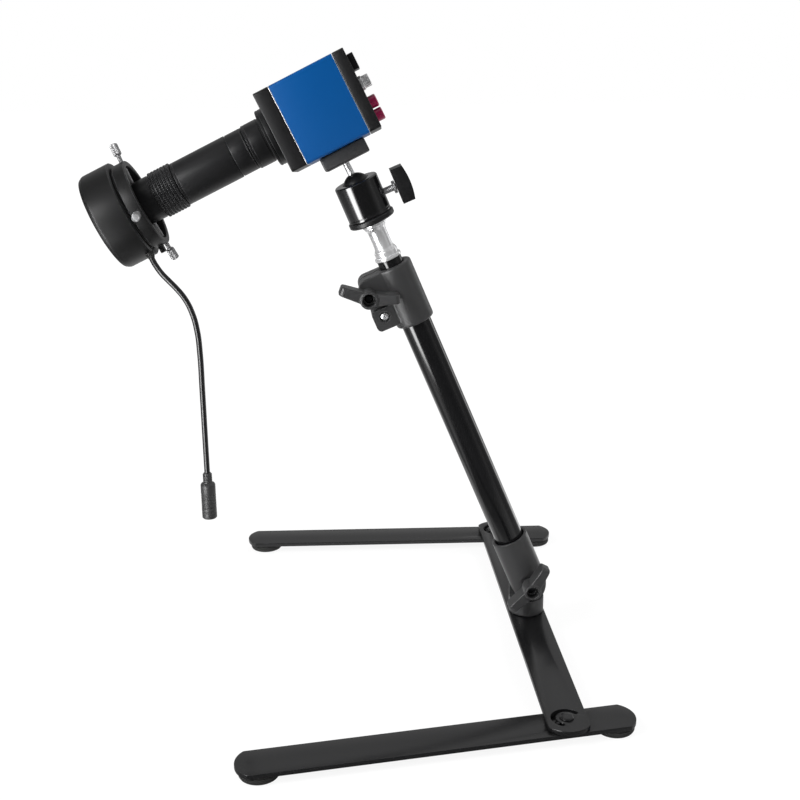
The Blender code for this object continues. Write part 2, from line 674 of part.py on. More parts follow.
def build_tilt_socket(pole):
    """The moulded socket that holds the outer tube and laps the pillar."""
    socket = piece(
        "tilt_socket",
        rod("tilt_socket", SOCKET_DIAMETER, -1.5 * KNUCKLE_ROUND, SOCKET_TOP, LARGE_STEPS),
        moulded_black(),
        pole,
    )
    side_view = extruded("socket_side_tool", lap_profile(2 * SOCKET_TOP), 2 * SOCKET_DIAMETER)
    tool = shape_tool(side_view, pole, (0.0, -SOCKET_DIAMETER, 0.0), (-90.0, 0.0, 0.0))
    combine(socket, tool, "INTERSECT")
    notch_height = 3 * KNUCKLE_ROUND
    notch = block("socket_notch_tool", (2 * SOCKET_DIAMETER, SOCKET_DIAMETER, notch_height))
    notch_place = (0.0, (SOCKET_DIAMETER - CLEARANCE) / 2, SHOULDER - notch_height / 2)
    combine(socket, shape_tool(notch, pole, notch_place), "DIFFERENCE")
    bore_radius = OUTER_TUBE_DIAMETER / 2 + CLEARANCE
    mouth = bore_radius + SOCKET_MOUTH_CHAMFER
    bore = turned(
        "socket_bore_tool",
        [
            (0.0, SOCKET_TOP + 0.002),
            (mouth, SOCKET_TOP + 0.002),
            (mouth, SOCKET_TOP),
            (bore_radius, SOCKET_TOP - 2 * SOCKET_MOUTH_CHAMFER),
            (bore_radius, SOCKET_FLOOR),
            (0.0, SOCKET_FLOOR),
        ],
        LARGE_STEPS,
    )
    combine(socket, shape_tool(bore, pole), "DIFFERENCE")
    bolt = rod(
        "socket_bolt_tool",
        BOLT_DIAMETER + 2 * CLEARANCE,
        -SOCKET_DIAMETER,
        SOCKET_DIAMETER,
        SMALL_STEPS,
    )
    combine(socket, shape_tool(bolt, pole, turn=(90.0, 0.0, 0.0)), "DIFFERENCE")
    face = SOCKET_DIAMETER / 2 - SPOT_FACE_DEPTH
    seat = rod("socket_spot_tool", KNOB_HUB_DIAMETER + 4 * CLEARANCE, face, SOCKET_DIAMETER, MEDIUM_STEPS)
    combine(socket, shape_tool(seat, pole, turn=(90.0, 0.0, 0.0)), "DIFFERENCE")


def build_wing_knob(name, parent, location, turn):
    """A clamping knob with two swept wings; its axis is local Z, its seat at the origin."""
    radius = KNOB_HUB_DIAMETER / 2
    outline = [(0.0, KNOB_HUB_LENGTH), (radius * 0.9, KNOB_HUB_LENGTH), (radius, KNOB_HUB_LENGTH * 0.92)]
    outline += [(radius, KNOB_HUB_LENGTH * 0.25), (radius * 0.86, 0.0), (0.0, 0.0)]
    knob = piece(name, turned(name, outline, MEDIUM_STEPS), moulded_black(), parent, location, turn)
    rise = WING_RISE
    top = KNOB_HUB_LENGTH
    wing_outline = [(radius * 0.3, rise), (WING_RADIUS * 0.72, rise + 0.0004)]
    wing_outline += arc((WING_RADIUS - 0.003, rise + 0.0036), 0.003, -70, 0, 3)
    wing_outline += arc((WING_RADIUS - 0.003, top - 0.002), 0.003, 0, 80, 3)
    wing_outline += [
        (WING_RADIUS * 0.6, top + 0.0006), (radius * 0.9, top - 0.001), (radius * 0.3, top - 0.0012)
    ]
    for side in (-1, 1):
        work = bmesh.new()
        slope = (WING_ROOT_THICKNESS - WING_TIP_THICKNESS) / WING_RADIUS
        near_side = []
        for x, z in wing_outline:
            near_side.append(work.verts.new((x, (slope * x - WING_ROOT_THICKNESS) / 2, z)))
        grown = bmesh.ops.extrude_face_region(work, geom=[work.faces.new(near_side)])
        for item in grown["geom"]:
            if isinstance(item, bmesh.types.BMVert):
                item.co.y = -item.co.y
        outer = [
            edge
            for edge in work.edges
            if edge.calc_length() < 0.9 * KNOB_HUB_LENGTH
            and edge.verts[0].co.y * edge.verts[1].co.y > 0.0
            and min(vertex.co.x for vertex in edge.verts) > radius
        ]
        bmesh.ops.bevel(work, geom=outer, offset=WING_EDGE, segments=1, affect="EDGES")
        wing = mesh_from(work, f"{name}_wing_tool")
        tool = shape_tool(wing, knob, turn=(0.0, 0.0, side * WING_ANGLE))
        combine(knob, tool, "UNION")
    bore = rod(
        f"{name}_bore_tool", BOLT_DIAMETER + 2 * CLEARANCE, -0.002, 2 * KNOB_HUB_LENGTH, SMALL_STEPS
    )
    combine(knob, shape_tool(bore, knob), "DIFFERENCE")
    eye_floor = KNOB_HUB_LENGTH - KNOB_EYE_DEPTH
    eye = rod(f"{name}_eye_tool", KNOB_EYE_DIAMETER, eye_floor, 2 * KNOB_HUB_LENGTH, SMALL_STEPS)
    combine(knob, shape_tool(eye, knob), "DIFFERENCE")
    return knob


def build_tubes(pole, slide):
    """The outer tube in the socket and the inner tube that slides in it."""
    for name, diameter, wall, bottom, top, parent in (
        ("outer_tube", OUTER_TUBE_DIAMETER, OUTER_TUBE_WALL, OUTER_TUBE_BOTTOM, OUTER_TUBE_TOP, pole),
        ("inner_tube", INNER_TUBE_DIAMETER, INNER_TUBE_WALL, INNER_TUBE_BOTTOM, INNER_TUBE_TOP, slide),
    ):
        radius = diameter / 2
        outline = [(radius, top), (radius, bottom), (radius - wall, bottom), (radius - wall, top)]
        piece(name, turned(name, outline, MEDIUM_STEPS), tube_black(), parent)


def ear_tool(name, left, right, bottom, top, corner, thickness, pole):
    """A flat clamp ear beside the collar, drawn in the plane of the pole."""
    outline = rounded_rectangle(left, bottom, right, top, corner)
    mesh = extruded(name, outline, thickness, EAR_EDGE)
    return shape_tool(mesh, pole, (0.0, thickness / 2, 0.0), (90.0, 0.0, 0.0))


def build_collar(pole):
    """The split collar: its lower ears grip the outer tube, its upper ears clamp the inner one."""
    radius = COLLAR_DIAMETER / 2
    bulge = COLLAR_EDGE * 0.3
    outline = [
        (0.0, COLLAR_TOP), (radius - COLLAR_EDGE, COLLAR_TOP), (radius - bulge, COLLAR_TOP - bulge)
    ]
    outline += [(radius, COLLAR_TOP - COLLAR_EDGE), (radius, COLLAR_BOTTOM + COLLAR_EDGE)]
    outline += [(radius - bulge, COLLAR_BOTTOM + bulge), (radius - COLLAR_EDGE, COLLAR_BOTTOM)]
    outline += [(0.0, COLLAR_BOTTOM)]
    collar = piece("clamp_collar", turned("clamp_collar", outline, LARGE_STEPS), moulded_black(), pole)
    clamp_top = COLLAR_TOP - CLEARANCE
    upper = ear_tool(
        "clamp_ear_tool",
        -CLAMP_EAR_REACH,
        0.0,
        clamp_top - CLAMP_EAR_HEIGHT,
        clamp_top,
        CLAMP_EAR_CORNER,
        CLAMP_EAR_THICKNESS,
        pole,
    )
    bolt_place = (-CLAMP_BOLT_REACH, 0.0, CLAMP_BOLT_STATION)
    bolt_reach = CLAMP_EAR_THICKNESS
    bolt_hole = rod(
        "clamp_bolt_tool", BOLT_DIAMETER + 2 * CLEARANCE, -bolt_reach, bolt_reach, SMALL_STEPS
    )
    combine(upper, shape_tool(bolt_hole, pole, bolt_place, (90.0, 0.0, 0.0)), "DIFFERENCE")
    combine(collar, upper, "UNION")
    lower = ear_tool(
        "fixing_ear_tool",
        -FIXING_EAR_REACH,
        0.0,
        FIXING_EAR_BOTTOM,
        FIXING_EAR_BOTTOM + FIXING_EAR_HEIGHT,
        FIXING_EAR_CORNER,
        FIXING_EAR_THICKNESS,
        pole,
    )
    combine(collar, lower, "UNION")
    over = COLLAR_HEIGHT / 8
    outer_bore = rod(
        "outer_bore_tool",
        OUTER_TUBE_DIAMETER + 2 * CLEARANCE,
        COLLAR_BOTTOM - over,
        OUTER_TUBE_TOP + CLEARANCE,
        LARGE_STEPS,
    )
    combine(collar, shape_tool(outer_bore, pole), "DIFFERENCE")
    bore = INNER_TUBE_DIAMETER / 2 + CLEARANCE
    mouth = bore + COLLAR_MOUTH_CHAMFER
    outline = [(0.0, COLLAR_TOP + over), (mouth, COLLAR_TOP + over), (mouth, COLLAR_TOP)]
    below = OUTER_TUBE_TOP - COLLAR_GRIP / 2
    outline += [(bore, COLLAR_TOP - COLLAR_MOUTH_CHAMFER), (bore, below), (0.0, below)]
    inner_bore = turned("inner_bore_tool", outline, LARGE_STEPS)
    combine(collar, shape_tool(inner_bore, pole), "DIFFERENCE")
    slit = block("collar_slit_tool", (2 * CLAMP_EAR_REACH, COLLAR_SLIT, 2 * COLLAR_HEIGHT))
    slit_place = (-CLAMP_EAR_REACH - INNER_TUBE_DIAMETER / 4, 0.0, COLLAR_BOTTOM + COLLAR_HEIGHT / 2)
    combine(collar, shape_tool(slit, pole, slit_place), "DIFFERENCE")
    reach = FIXING_EAR_THICKNESS
    screw_place = (-FIXING_SCREW_REACH, 0.0, FIXING_SCREW_STATION)
    screw_hole = rod(
        "fixing_screw_tool", FIXING_SCREW_DIAMETER + 2 * CLEARANCE, -reach, reach, TINY_STEPS
    )
    combine(collar, shape_tool(screw_hole, pole, screw_place, (90.0, 0.0, 0.0)), "DIFFERENCE")
    recess_floor = FIXING_EAR_THICKNESS / 2 - FIXING_RECESS_DEPTH
    recess = rod(
        "fixing_recess_tool",
        FIXING_RECESS_DIAMETER,
        recess_floor,
        FIXING_EAR_THICKNESS,
        SMALL_STEPS,
    )
    combine(collar, shape_tool(recess, pole, screw_place, (90.0, 0.0, 0.0)), "DIFFERENCE")


def build_collar_fasteners(pole):
    """The clamp bolt, and the fixing screw with its nut; all lie along Y."""
    seat = CLAMP_EAR_THICKNESS / 2 + CLEARANCE
    tip = CLAMP_EAR_THICKNESS / 2 + KNOB_HUB_LENGTH - KNOB_EYE_DEPTH + 0.001
    head = BOLT_HEAD_DIAMETER / 2
    shank = BOLT_DIAMETER / 2
    outline = [(0.0, seat + BOLT_HEAD_HEIGHT), (head * 0.6, seat + BOLT_HEAD_HEIGHT * 0.85)]
    outline += [
        (head, seat + BOLT_HEAD_HEIGHT * 0.3),
        (head, seat),
        (shank, seat),
        (shank, -tip),
        (0.0, -tip),
    ]
    bolt_place = (-CLAMP_BOLT_REACH, 0.0, CLAMP_BOLT_STATION)
    bolt = turned("clamp_bolt", outline, SMALL_STEPS)
    piece("clamp_bolt", bolt, plated_steel(), pole, bolt_place, (-90.0, 0.0, 0.0))

    floor = FIXING_EAR_THICKNESS / 2 - FIXING_RECESS_DEPTH + CLEARANCE
    back = FIXING_EAR_THICKNESS / 2 + CLEARANCE + FIXING_NUT_HEIGHT
    head = FIXING_SCREW_HEAD / 2
    shank = FIXING_SCREW_DIAMETER / 2
    outline = [(0.0, floor + 0.0018), (head * 0.7, floor + 0.0016), (head, floor + 0.0008), (head, floor)]
    outline += [(shank, floor), (shank, -back), (0.0, -back)]
    screw_place = (-FIXING_SCREW_REACH, 0.0, FIXING_SCREW_STATION)
    screw = turned("fixing_screw", outline, SMALL_STEPS)
    piece("fixing_screw", screw, polished_steel(), pole, screw_place, (90.0, 0.0, 0.0))

    corner = FIXING_NUT_WIDTH / math.sqrt(3)
    hexagon = arc((0.0, 0.0), corner, 0, 300, 5)
    nut = piece(
        "fixing_nut",
        extruded("fixing_nut", hexagon, FIXING_NUT_HEIGHT),
        plated_steel(),
        pole,
        (-FIXING_SCREW_REACH, FIXING_EAR_THICKNESS / 2 + CLEARANCE, FIXING_SCREW_STATION),
        (-90.0, 0.0, 0.0),
    )
    bore = rod(
        "nut_bore_tool",
        FIXING_SCREW_DIAMETER + 2 * CLEARANCE,
        -0.001,
        2 * FIXING_NUT_HEIGHT,
        TINY_STEPS,
    )
    combine(nut, shape_tool(bore, nut), "DIFFERENCE")


def build_spigot(slide):
    """The turned steel spigot plugged into the inner tube, with the stud for the ball head."""
    plug = INNER_TUBE_DIAMETER / 2 - INNER_TUBE_WALL - CLEARANCE
    flange = SPIGOT_FLANGE_DIAMETER / 2
    bead = SPIGOT_BEAD_DIAMETER / 2
    neck = SPIGOT_NECK_DIAMETER / 2
    crown = SPIGOT_CROWN_DIAMETER / 2
    stud = SPIGOT_STUD_DIAMETER / 2
    flange_top = SPIGOT_SEAT + SPIGOT_FLANGE_HEIGHT
    bead_top = flange_top + SPIGOT_BEAD_HEIGHT
    outline = [
        (0.0, SPIGOT_TOP + SPIGOT_STUD_LENGTH),
        (stud, SPIGOT_TOP + SPIGOT_STUD_LENGTH),
        (stud, SPIGOT_TOP),
    ]
    outline += [(crown, SPIGOT_TOP), (crown, SPIGOT_TOP - SPIGOT_CROWN_HEIGHT)]
    outline.append((neck, SPIGOT_TOP - SPIGOT_NECK_DROP))
    outline += [(neck, SPIGOT_SEAT + SPIGOT_NECK_RISE), (bead * 0.94, bead_top), (bead, bead_top - 0.001)]
    outline += [(bead, flange_top + 0.001), (bead * 0.95, flange_top), (flange, flange_top)]
    outline += [(flange, SPIGOT_SEAT), (plug, SPIGOT_SEAT), (plug, SPIGOT_SEAT - SPIGOT_PLUG_LENGTH)]
    outline += [(0.0, SPIGOT_SEAT - SPIGOT_PLUG_LENGTH)]
    piece("spigot", turned("spigot", outline, MEDIUM_STEPS), polished_steel(), slide)


def build_ball_head(turret):
    """The base and the hollow housing of the ball head, with the cup under the ball."""
    stud = SPIGOT_STUD_DIAMETER / 2 + CLEARANCE
    outer = HEAD_BASE_DIAMETER / 2
    edge = HOUSING_EDGE
    outline = [(stud, HEAD_BASE_TOP), (outer - edge, HEAD_BASE_TOP), (outer, HEAD_BASE_TOP - edge)]
    outline += [
        (outer, HEAD_BASE_BOTTOM + edge), (outer - edge, HEAD_BASE_BOTTOM), (stud, HEAD_BASE_BOTTOM)
    ]
    piece("head_base", turned("head_base", outline, LARGE_STEPS), anodised_black(), turret)

    outer = HOUSING_DIAMETER / 2
    hollow = BALL_DIAMETER / 2 + CLEARANCE
    lip = math.degrees(math.asin((HOUSING_TOP - BALL_STATION) / hollow))
    outline = [(outer - edge, HOUSING_TOP), (outer, HOUSING_TOP - edge), (outer, HOUSING_BOTTOM)]
    outline += [(hollow, HOUSING_BOTTOM)]
    outline += arc((0.0, BALL_STATION), hollow, 0, lip, 4)
    housing = piece(
        "ball_housing", turned("ball_housing", outline, LARGE_STEPS), anodised_black(), turret
    )
    lock_place = (0.0, 0.0, BALL_STATION - LOCK_DROP)
    hole = rod(
        "lock_hole_tool",
        LOCK_SCREW_DIAMETER + 2 * CLEARANCE,
        hollow / 2,
        HOUSING_DIAMETER,
        SMALL_STEPS,
    )
    combine(housing, shape_tool(hole, turret, lock_place, (0.0, 90.0, 0.0)), "DIFFERENCE")

    cup_radius = hollow - CLEARANCE
    seat_angle = math.degrees(math.asin((BALL_STATION - CUP_TOP) / hollow))
    stud_room = SPIGOT_TOP + SPIGOT_STUD_LENGTH + CLEARANCE
    outline = arc((0.0, BALL_STATION), hollow, -90, -seat_angle, 5)
    outline[0] = (0.0, outline[0][1])
    outline += [
        (cup_radius, CUP_TOP),
        (cup_radius, HOUSING_BOTTOM),
        (stud, HOUSING_BOTTOM),
        (stud, stud_room),
    ]
    outline += [(0.0, stud_room)]
    piece("ball_cup", turned("ball_cup", outline, MEDIUM_STEPS), moulded_black(), turret)


def build_lock_knob(turret):
    """The lock screw of the ball head and its wing knob, turning about the screw."""
    lock = frame_at("lock_axis", turret, (0.0, 0.0, BALL_STATION - LOCK_DROP), (0.0, 90.0, 0.0))
    shank = LOCK_SCREW_DIAMETER / 2
    collar = LOCK_COLLAR_DIAMETER / 2
    tip = BALL_DIAMETER / 2 + CLEARANCE
    end = LOCK_KNOB_INNER + LOCK_KNOB_THICKNESS / 2
    shoulder = LOCK_KNOB_INNER - CLEARANCE
    outline = [(0.0, end), (shank, end), (shank, shoulder), (collar, shoulder)]
    outline += [(collar, shoulder - LOCK_COLLAR_WIDTH), (shank, shoulder - LOCK_COLLAR_WIDTH)]
    outline += [(shank, tip + 0.001), (shank * 0.5, tip), (0.0, tip)]
    piece("lock_screw", turned("lock_screw", outline, SMALL_STEPS), polished_steel(), lock)

    half = LOCK_KNOB_LENGTH / 2
    side = LOCK_KNOB_THICKNESS - LOCK_KNOB_CROWN
    crown_radius = (half**2 + LOCK_KNOB_CROWN**2) / (2 * LOCK_KNOB_CROWN)
    spread = math.degrees(math.asin(half / crown_radius))
    outline = [(-half, 0.0), (half, 0.0)]
    outline += arc((0.0, LOCK_KNOB_THICKNESS - crown_radius), crown_radius, 90 - spread, 90 + spread, 8)
    knob_mesh = extruded("lock_knob", outline, LOCK_KNOB_WIDTH, LOCK_KNOB_EDGE)
    place = (0.0, LOCK_KNOB_WIDTH / 2, LOCK_KNOB_INNER)
    knob = piece("lock_knob", knob_mesh, moulded_black(), lock, place, (90.0, 0.0, 0.0))
    hole = rod(
        "lock_knob_tool",
        LOCK_SCREW_DIAMETER + 2 * CLEARANCE,
        LOCK_KNOB_INNER - side,
        LOCK_KNOB_INNER + LOCK_KNOB_THICKNESS / 2 + CLEARANCE,
        SMALL_STEPS,
    )
    combine(knob, shape_tool(hole, lock), "DIFFERENCE")


def build_ball(ball_frame):
    """The ball and its threaded stem; local Z is the stem."""
    radius = BALL_DIAMETER / 2
    socket = STEM_DIAMETER / 2 + CLEARANCE
    top = math.degrees(math.acos((socket + CLEARANCE) / radius))
    outline = [(0.0, STEM_SEAT), (socket, STEM_SEAT)]
    outline += [(socket, radius * math.sin(math.radians(top)))]
    outline += arc((0.0, 0.0), radius, top, -90, 9)
    outline[-1] = (0.0, -radius)
    piece("ball", turned("ball", outline, MEDIUM_STEPS), anodised_black(), ball_frame)
    stem = rod("ball_stem", STEM_DIAMETER, STEM_SEAT + CLEARANCE, STEM_REACH, SMALL_STEPS)
    piece("ball_stem", stem, polished_steel(), ball_frame)


def square_case(name, length, bevel):
    """A length of the square camera case, its long edges rounded; local Z is the lens axis."""
    half = CASE_WIDTH / 2
    return extruded(name, rounded_rectangle(-half, -half, half, half, CASE_CORNER, 3), length, bevel)


def build_camera(camera, optic):
    """The tripod block and the three-piece camera case, with what is set in its rear face."""
    block_mesh = block("tripod_block", (BLOCK_LENGTH, BLOCK_WIDTH, BLOCK_HEIGHT), BLOCK_CORNER, 1)
    block_place = (BLOCK_LENGTH / 2 - BLOCK_FRONT, 0.0, CASE_BOTTOM - CLEARANCE - BLOCK_HEIGHT / 2)
    tripod = piece("tripod_block", block_mesh, moulded_black(), camera, block_place)
    thread = rod(
        "tripod_thread_tool",
        STEM_DIAMETER + 2 * CLEARANCE,
        0.0,
        STEM_REACH + CLEARANCE,
        SMALL_STEPS,
    )
    combine(tripod, shape_tool(thread, camera), "DIFFERENCE")

    black = anodised_black()
    blue = finish("anodised_blue", (0.008, 0.115, 0.42), 0.42, 0.3)
    front_rear = CASE_FRONT - FRONT_COVER_LENGTH
    cover = piece(
        "front_cover",
        square_case("front_cover", FRONT_COVER_LENGTH, COVER_CHAMFER),
        black,
        optic,
        (0.0, 0.0, front_rear),
    )
    thread = rod(
        "mount_thread_tool",
        MOUNT_THREAD_DIAMETER + 2 * CLEARANCE,
        CASE_FRONT - MOUNT_THREAD_LENGTH - 2 * CLEARANCE,
        CASE_FRONT + 0.005,
        MEDIUM_STEPS,
    )
    combine(cover, shape_tool(thread, optic), "DIFFERENCE")
    shell = piece(
        "camera_shell",
        square_case("camera_shell", SHELL_LENGTH, 0.0002),
        blue,
        optic,
        (0.0, 0.0, SHELL_REAR),
    )
    room = CASE_WIDTH - 2 * SHELL_WALL
    hollow = block("shell_hollow_tool", (room, room, 3 * SHELL_LENGTH))
    combine(shell, shape_tool(hollow, optic, (0.0, 0.0, SHELL_REAR)), "DIFFERENCE")
    board_side = room - 2 * CLEARANCE
    board = block("sensor_board", (board_side, board_side, BOARD_THICKNESS))
    green = finish("board_green", (0.02, 0.18, 0.07), 0.5)
    piece("sensor_board", board, green, optic, (0.0, 0.0, SHELL_FRONT - BOARD_THICKNESS / 2))
    rear = piece(
        "rear_cover",
        square_case("rear_cover", REAR_COVER_LENGTH, COVER_CHAMFER),
        black,
        optic,
        (0.0, 0.0, COVER_REAR_FACE),
    )
    build_rear_sockets(optic)
    for name, above in zip(("upper_button", "lower_button"), BUTTON_ABOVE):
        place = (above, 0.0, COVER_REAR_FACE)
        depth = BUTTON_SEAT + CLEARANCE + BUTTON_TRAVEL
        well = rod(f"{name}_tool", BUTTON_DIAMETER + 2 * CLEARANCE, -0.002, depth, SMALL_STEPS)
        combine(rear, shape_tool(well, optic, place), "DIFFERENCE")
        radius = BUTTON_DIAMETER / 2
        outline = [(0.0, BUTTON_SEAT), (radius, BUTTON_SEAT), (radius, 0.0006 - BUTTON_PROUD)]
        outline += [(radius * 0.85, -BUTTON_PROUD), (0.0, -BUTTON_PROUD)]
        crimson = finish("crimson", (0.42, 0.012, 0.05), 0.35)
        piece(name, turned(name, outline, SMALL_STEPS), crimson, optic, place)


def build_rear_sockets(optic):
    """The black signal socket and the round power jack on the rear cover."""
    black = anodised_black()
    face = COVER_REAR_FACE - CLEARANCE
    size = (SOCKET_BLOCK_HEIGHT, SOCKET_BLOCK_WIDTH, SOCKET_BLOCK_DEPTH)
    place = (SOCKET_BLOCK_ABOVE, 0.0, face - SOCKET_BLOCK_DEPTH / 2)
    signal = piece("signal_socket", block("signal_socket", size, 0.0005, 1), black, optic, place)
    mouth_size = (SOCKET_BLOCK_HEIGHT * 0.62, SOCKET_BLOCK_WIDTH * 0.74, SOCKET_BLOCK_DEPTH)
    mouth = block("signal_mouth_tool", mouth_size)
    mouth_place = (SOCKET_BLOCK_ABOVE, 0.0, face - SOCKET_BLOCK_DEPTH)
    combine(signal, shape_tool(mouth, optic, mouth_place), "DIFFERENCE")
    outer = JACK_DIAMETER / 2
    bore = JACK_BORE / 2
    outline = [
        (0.0, 0.0),
        (outer, 0.0),
        (outer, -0.0016),
        (outer * 0.86, -0.002),
        (outer * 0.86, -JACK_LENGTH),
    ]
    outline += [(bore, -JACK_LENGTH), (bore, -0.0022), (0.0, -0.0022)]
    piece(
        "power_jack",
        turned("power_jack", outline, SMALL_STEPS),
        polished_steel(),
        optic,
        (JACK_ABOVE, 0.0, face),
    )


def build_lens(optic, zoom):
    """The lens, all turned about local Z, which is the optical axis."""
    black = anodised_black()
    bore = LENS_BORE_DIAMETER / 2
    ring = MOUNT_RING_DIAMETER / 2
    thread = MOUNT_THREAD_DIAMETER / 2
    chamfer = 0.0004
    outline = [
        (bore, MOUNT_RING_FRONT),
        (ring - chamfer, MOUNT_RING_FRONT),
        (ring, MOUNT_RING_FRONT - chamfer),
    ]
    outline += [
        (ring, MOUNT_RING_REAR + chamfer),
        (ring - chamfer, MOUNT_RING_REAR),
        (thread, MOUNT_RING_REAR),
    ]
    outline += [
        (thread, MOUNT_RING_REAR - MOUNT_THREAD_LENGTH),
        (bore, MOUNT_RING_REAR - MOUNT_THREAD_LENGTH),
    ]
    piece("mount_ring", turned("mount_ring", outline, LARGE_STEPS), black, optic)

    tube = REAR_TUBE_DIAMETER / 2
    outline = [(bore, REAR_TUBE_END), (tube - chamfer, REAR_TUBE_END), (tube, REAR_TUBE_END - chamfer)]
    outline += [(tube, REAR_TUBE_START), (bore, REAR_TUBE_START)]
    piece("lens_rear_tube", turned("lens_rear_tube", outline, MEDIUM_STEPS), black, optic)

    barrel = BARREL_DIAMETER / 2
    waist = BARREL_WAIST_DIAMETER / 2
    waist_end = BARREL_START + BARREL_WAIST_LENGTH
    sleeve = SLEEVE_DIAMETER / 2
    outline = [
        (bore, SLEEVE_END),
        (sleeve, SLEEVE_END),
        (sleeve, BARREL_END),
        (barrel - chamfer, BARREL_END),
    ]
    outline += [
        (barrel, BARREL_END - chamfer),
        (barrel, waist_end + 0.0008),
        (waist - 0.0005, waist_end + 0.0005),
    ]
    outline += [
        (waist - 0.0005, waist_end), (waist, waist_end), (waist, BARREL_START), (bore, BARREL_START)
    ]
    piece("lens_barrel", turned("lens_barrel", outline, MEDIUM_STEPS), black, optic)

    inside = sleeve + CLEARANCE
    crest = ZOOM_RING_DIAMETER / 2
    valley = crest - ZOOM_RIDGE_DEPTH
    pitch = ZOOM_RING_LENGTH / ZOOM_RIDGES
    outline = [(inside, 0.0), (inside, ZOOM_RING_LENGTH)]
    for index in reversed(range(ZOOM_RIDGES)):
        low = index * pitch
        outline += [(valley, low + pitch), (crest, low + 0.75 * pitch), (crest, low + 0.3 * pitch)]
    outline += [(valley, 0.0)]
    piece("zoom_ring", turned("zoom_ring", outline, MEDIUM_STEPS), black, zoom)

    neck = NECK_DIAMETER / 2
    glass = GLASS_DIAMETER / 2
    glass_front = NECK_END - GLASS_INSET
    glass_rear = glass_front - GLASS_THICKNESS
    outline = [(glass + CLEARANCE, NECK_END), (neck - chamfer, NECK_END), (neck, NECK_END - chamfer)]
    outline += [(neck, NECK_START), (inside, NECK_START), (inside, SLEEVE_END + CLEARANCE)]
    outline += [
        (bore, SLEEVE_END + CLEARANCE),
        (bore, glass_rear - CLEARANCE),
        (glass + CLEARANCE, glass_rear - CLEARANCE),
    ]
    piece("lens_neck", turned("lens_neck", outline, MEDIUM_STEPS), black, optic)
    clear = finish("coated_glass", (0.7, 0.78, 0.9), 0.03, 0.0, 0.9)
    outline = [
        (0.0, glass_front + 0.0008),
        (glass * 0.6, glass_front + 0.0005),
        (glass, glass_front - 0.0004),
    ]
    outline += [(glass, glass_rear), (0.0, glass_rear)]
    piece("front_glass", turned("front_glass", outline, MEDIUM_STEPS), clear, optic)


def light_well():
    """Outer and inner radius of the well in the front of the ring light."""
    return LIGHT_DIAMETER / 2 - LIGHT_RIM, LIGHT_BORE / 2 + LIGHT_HUB_WALL


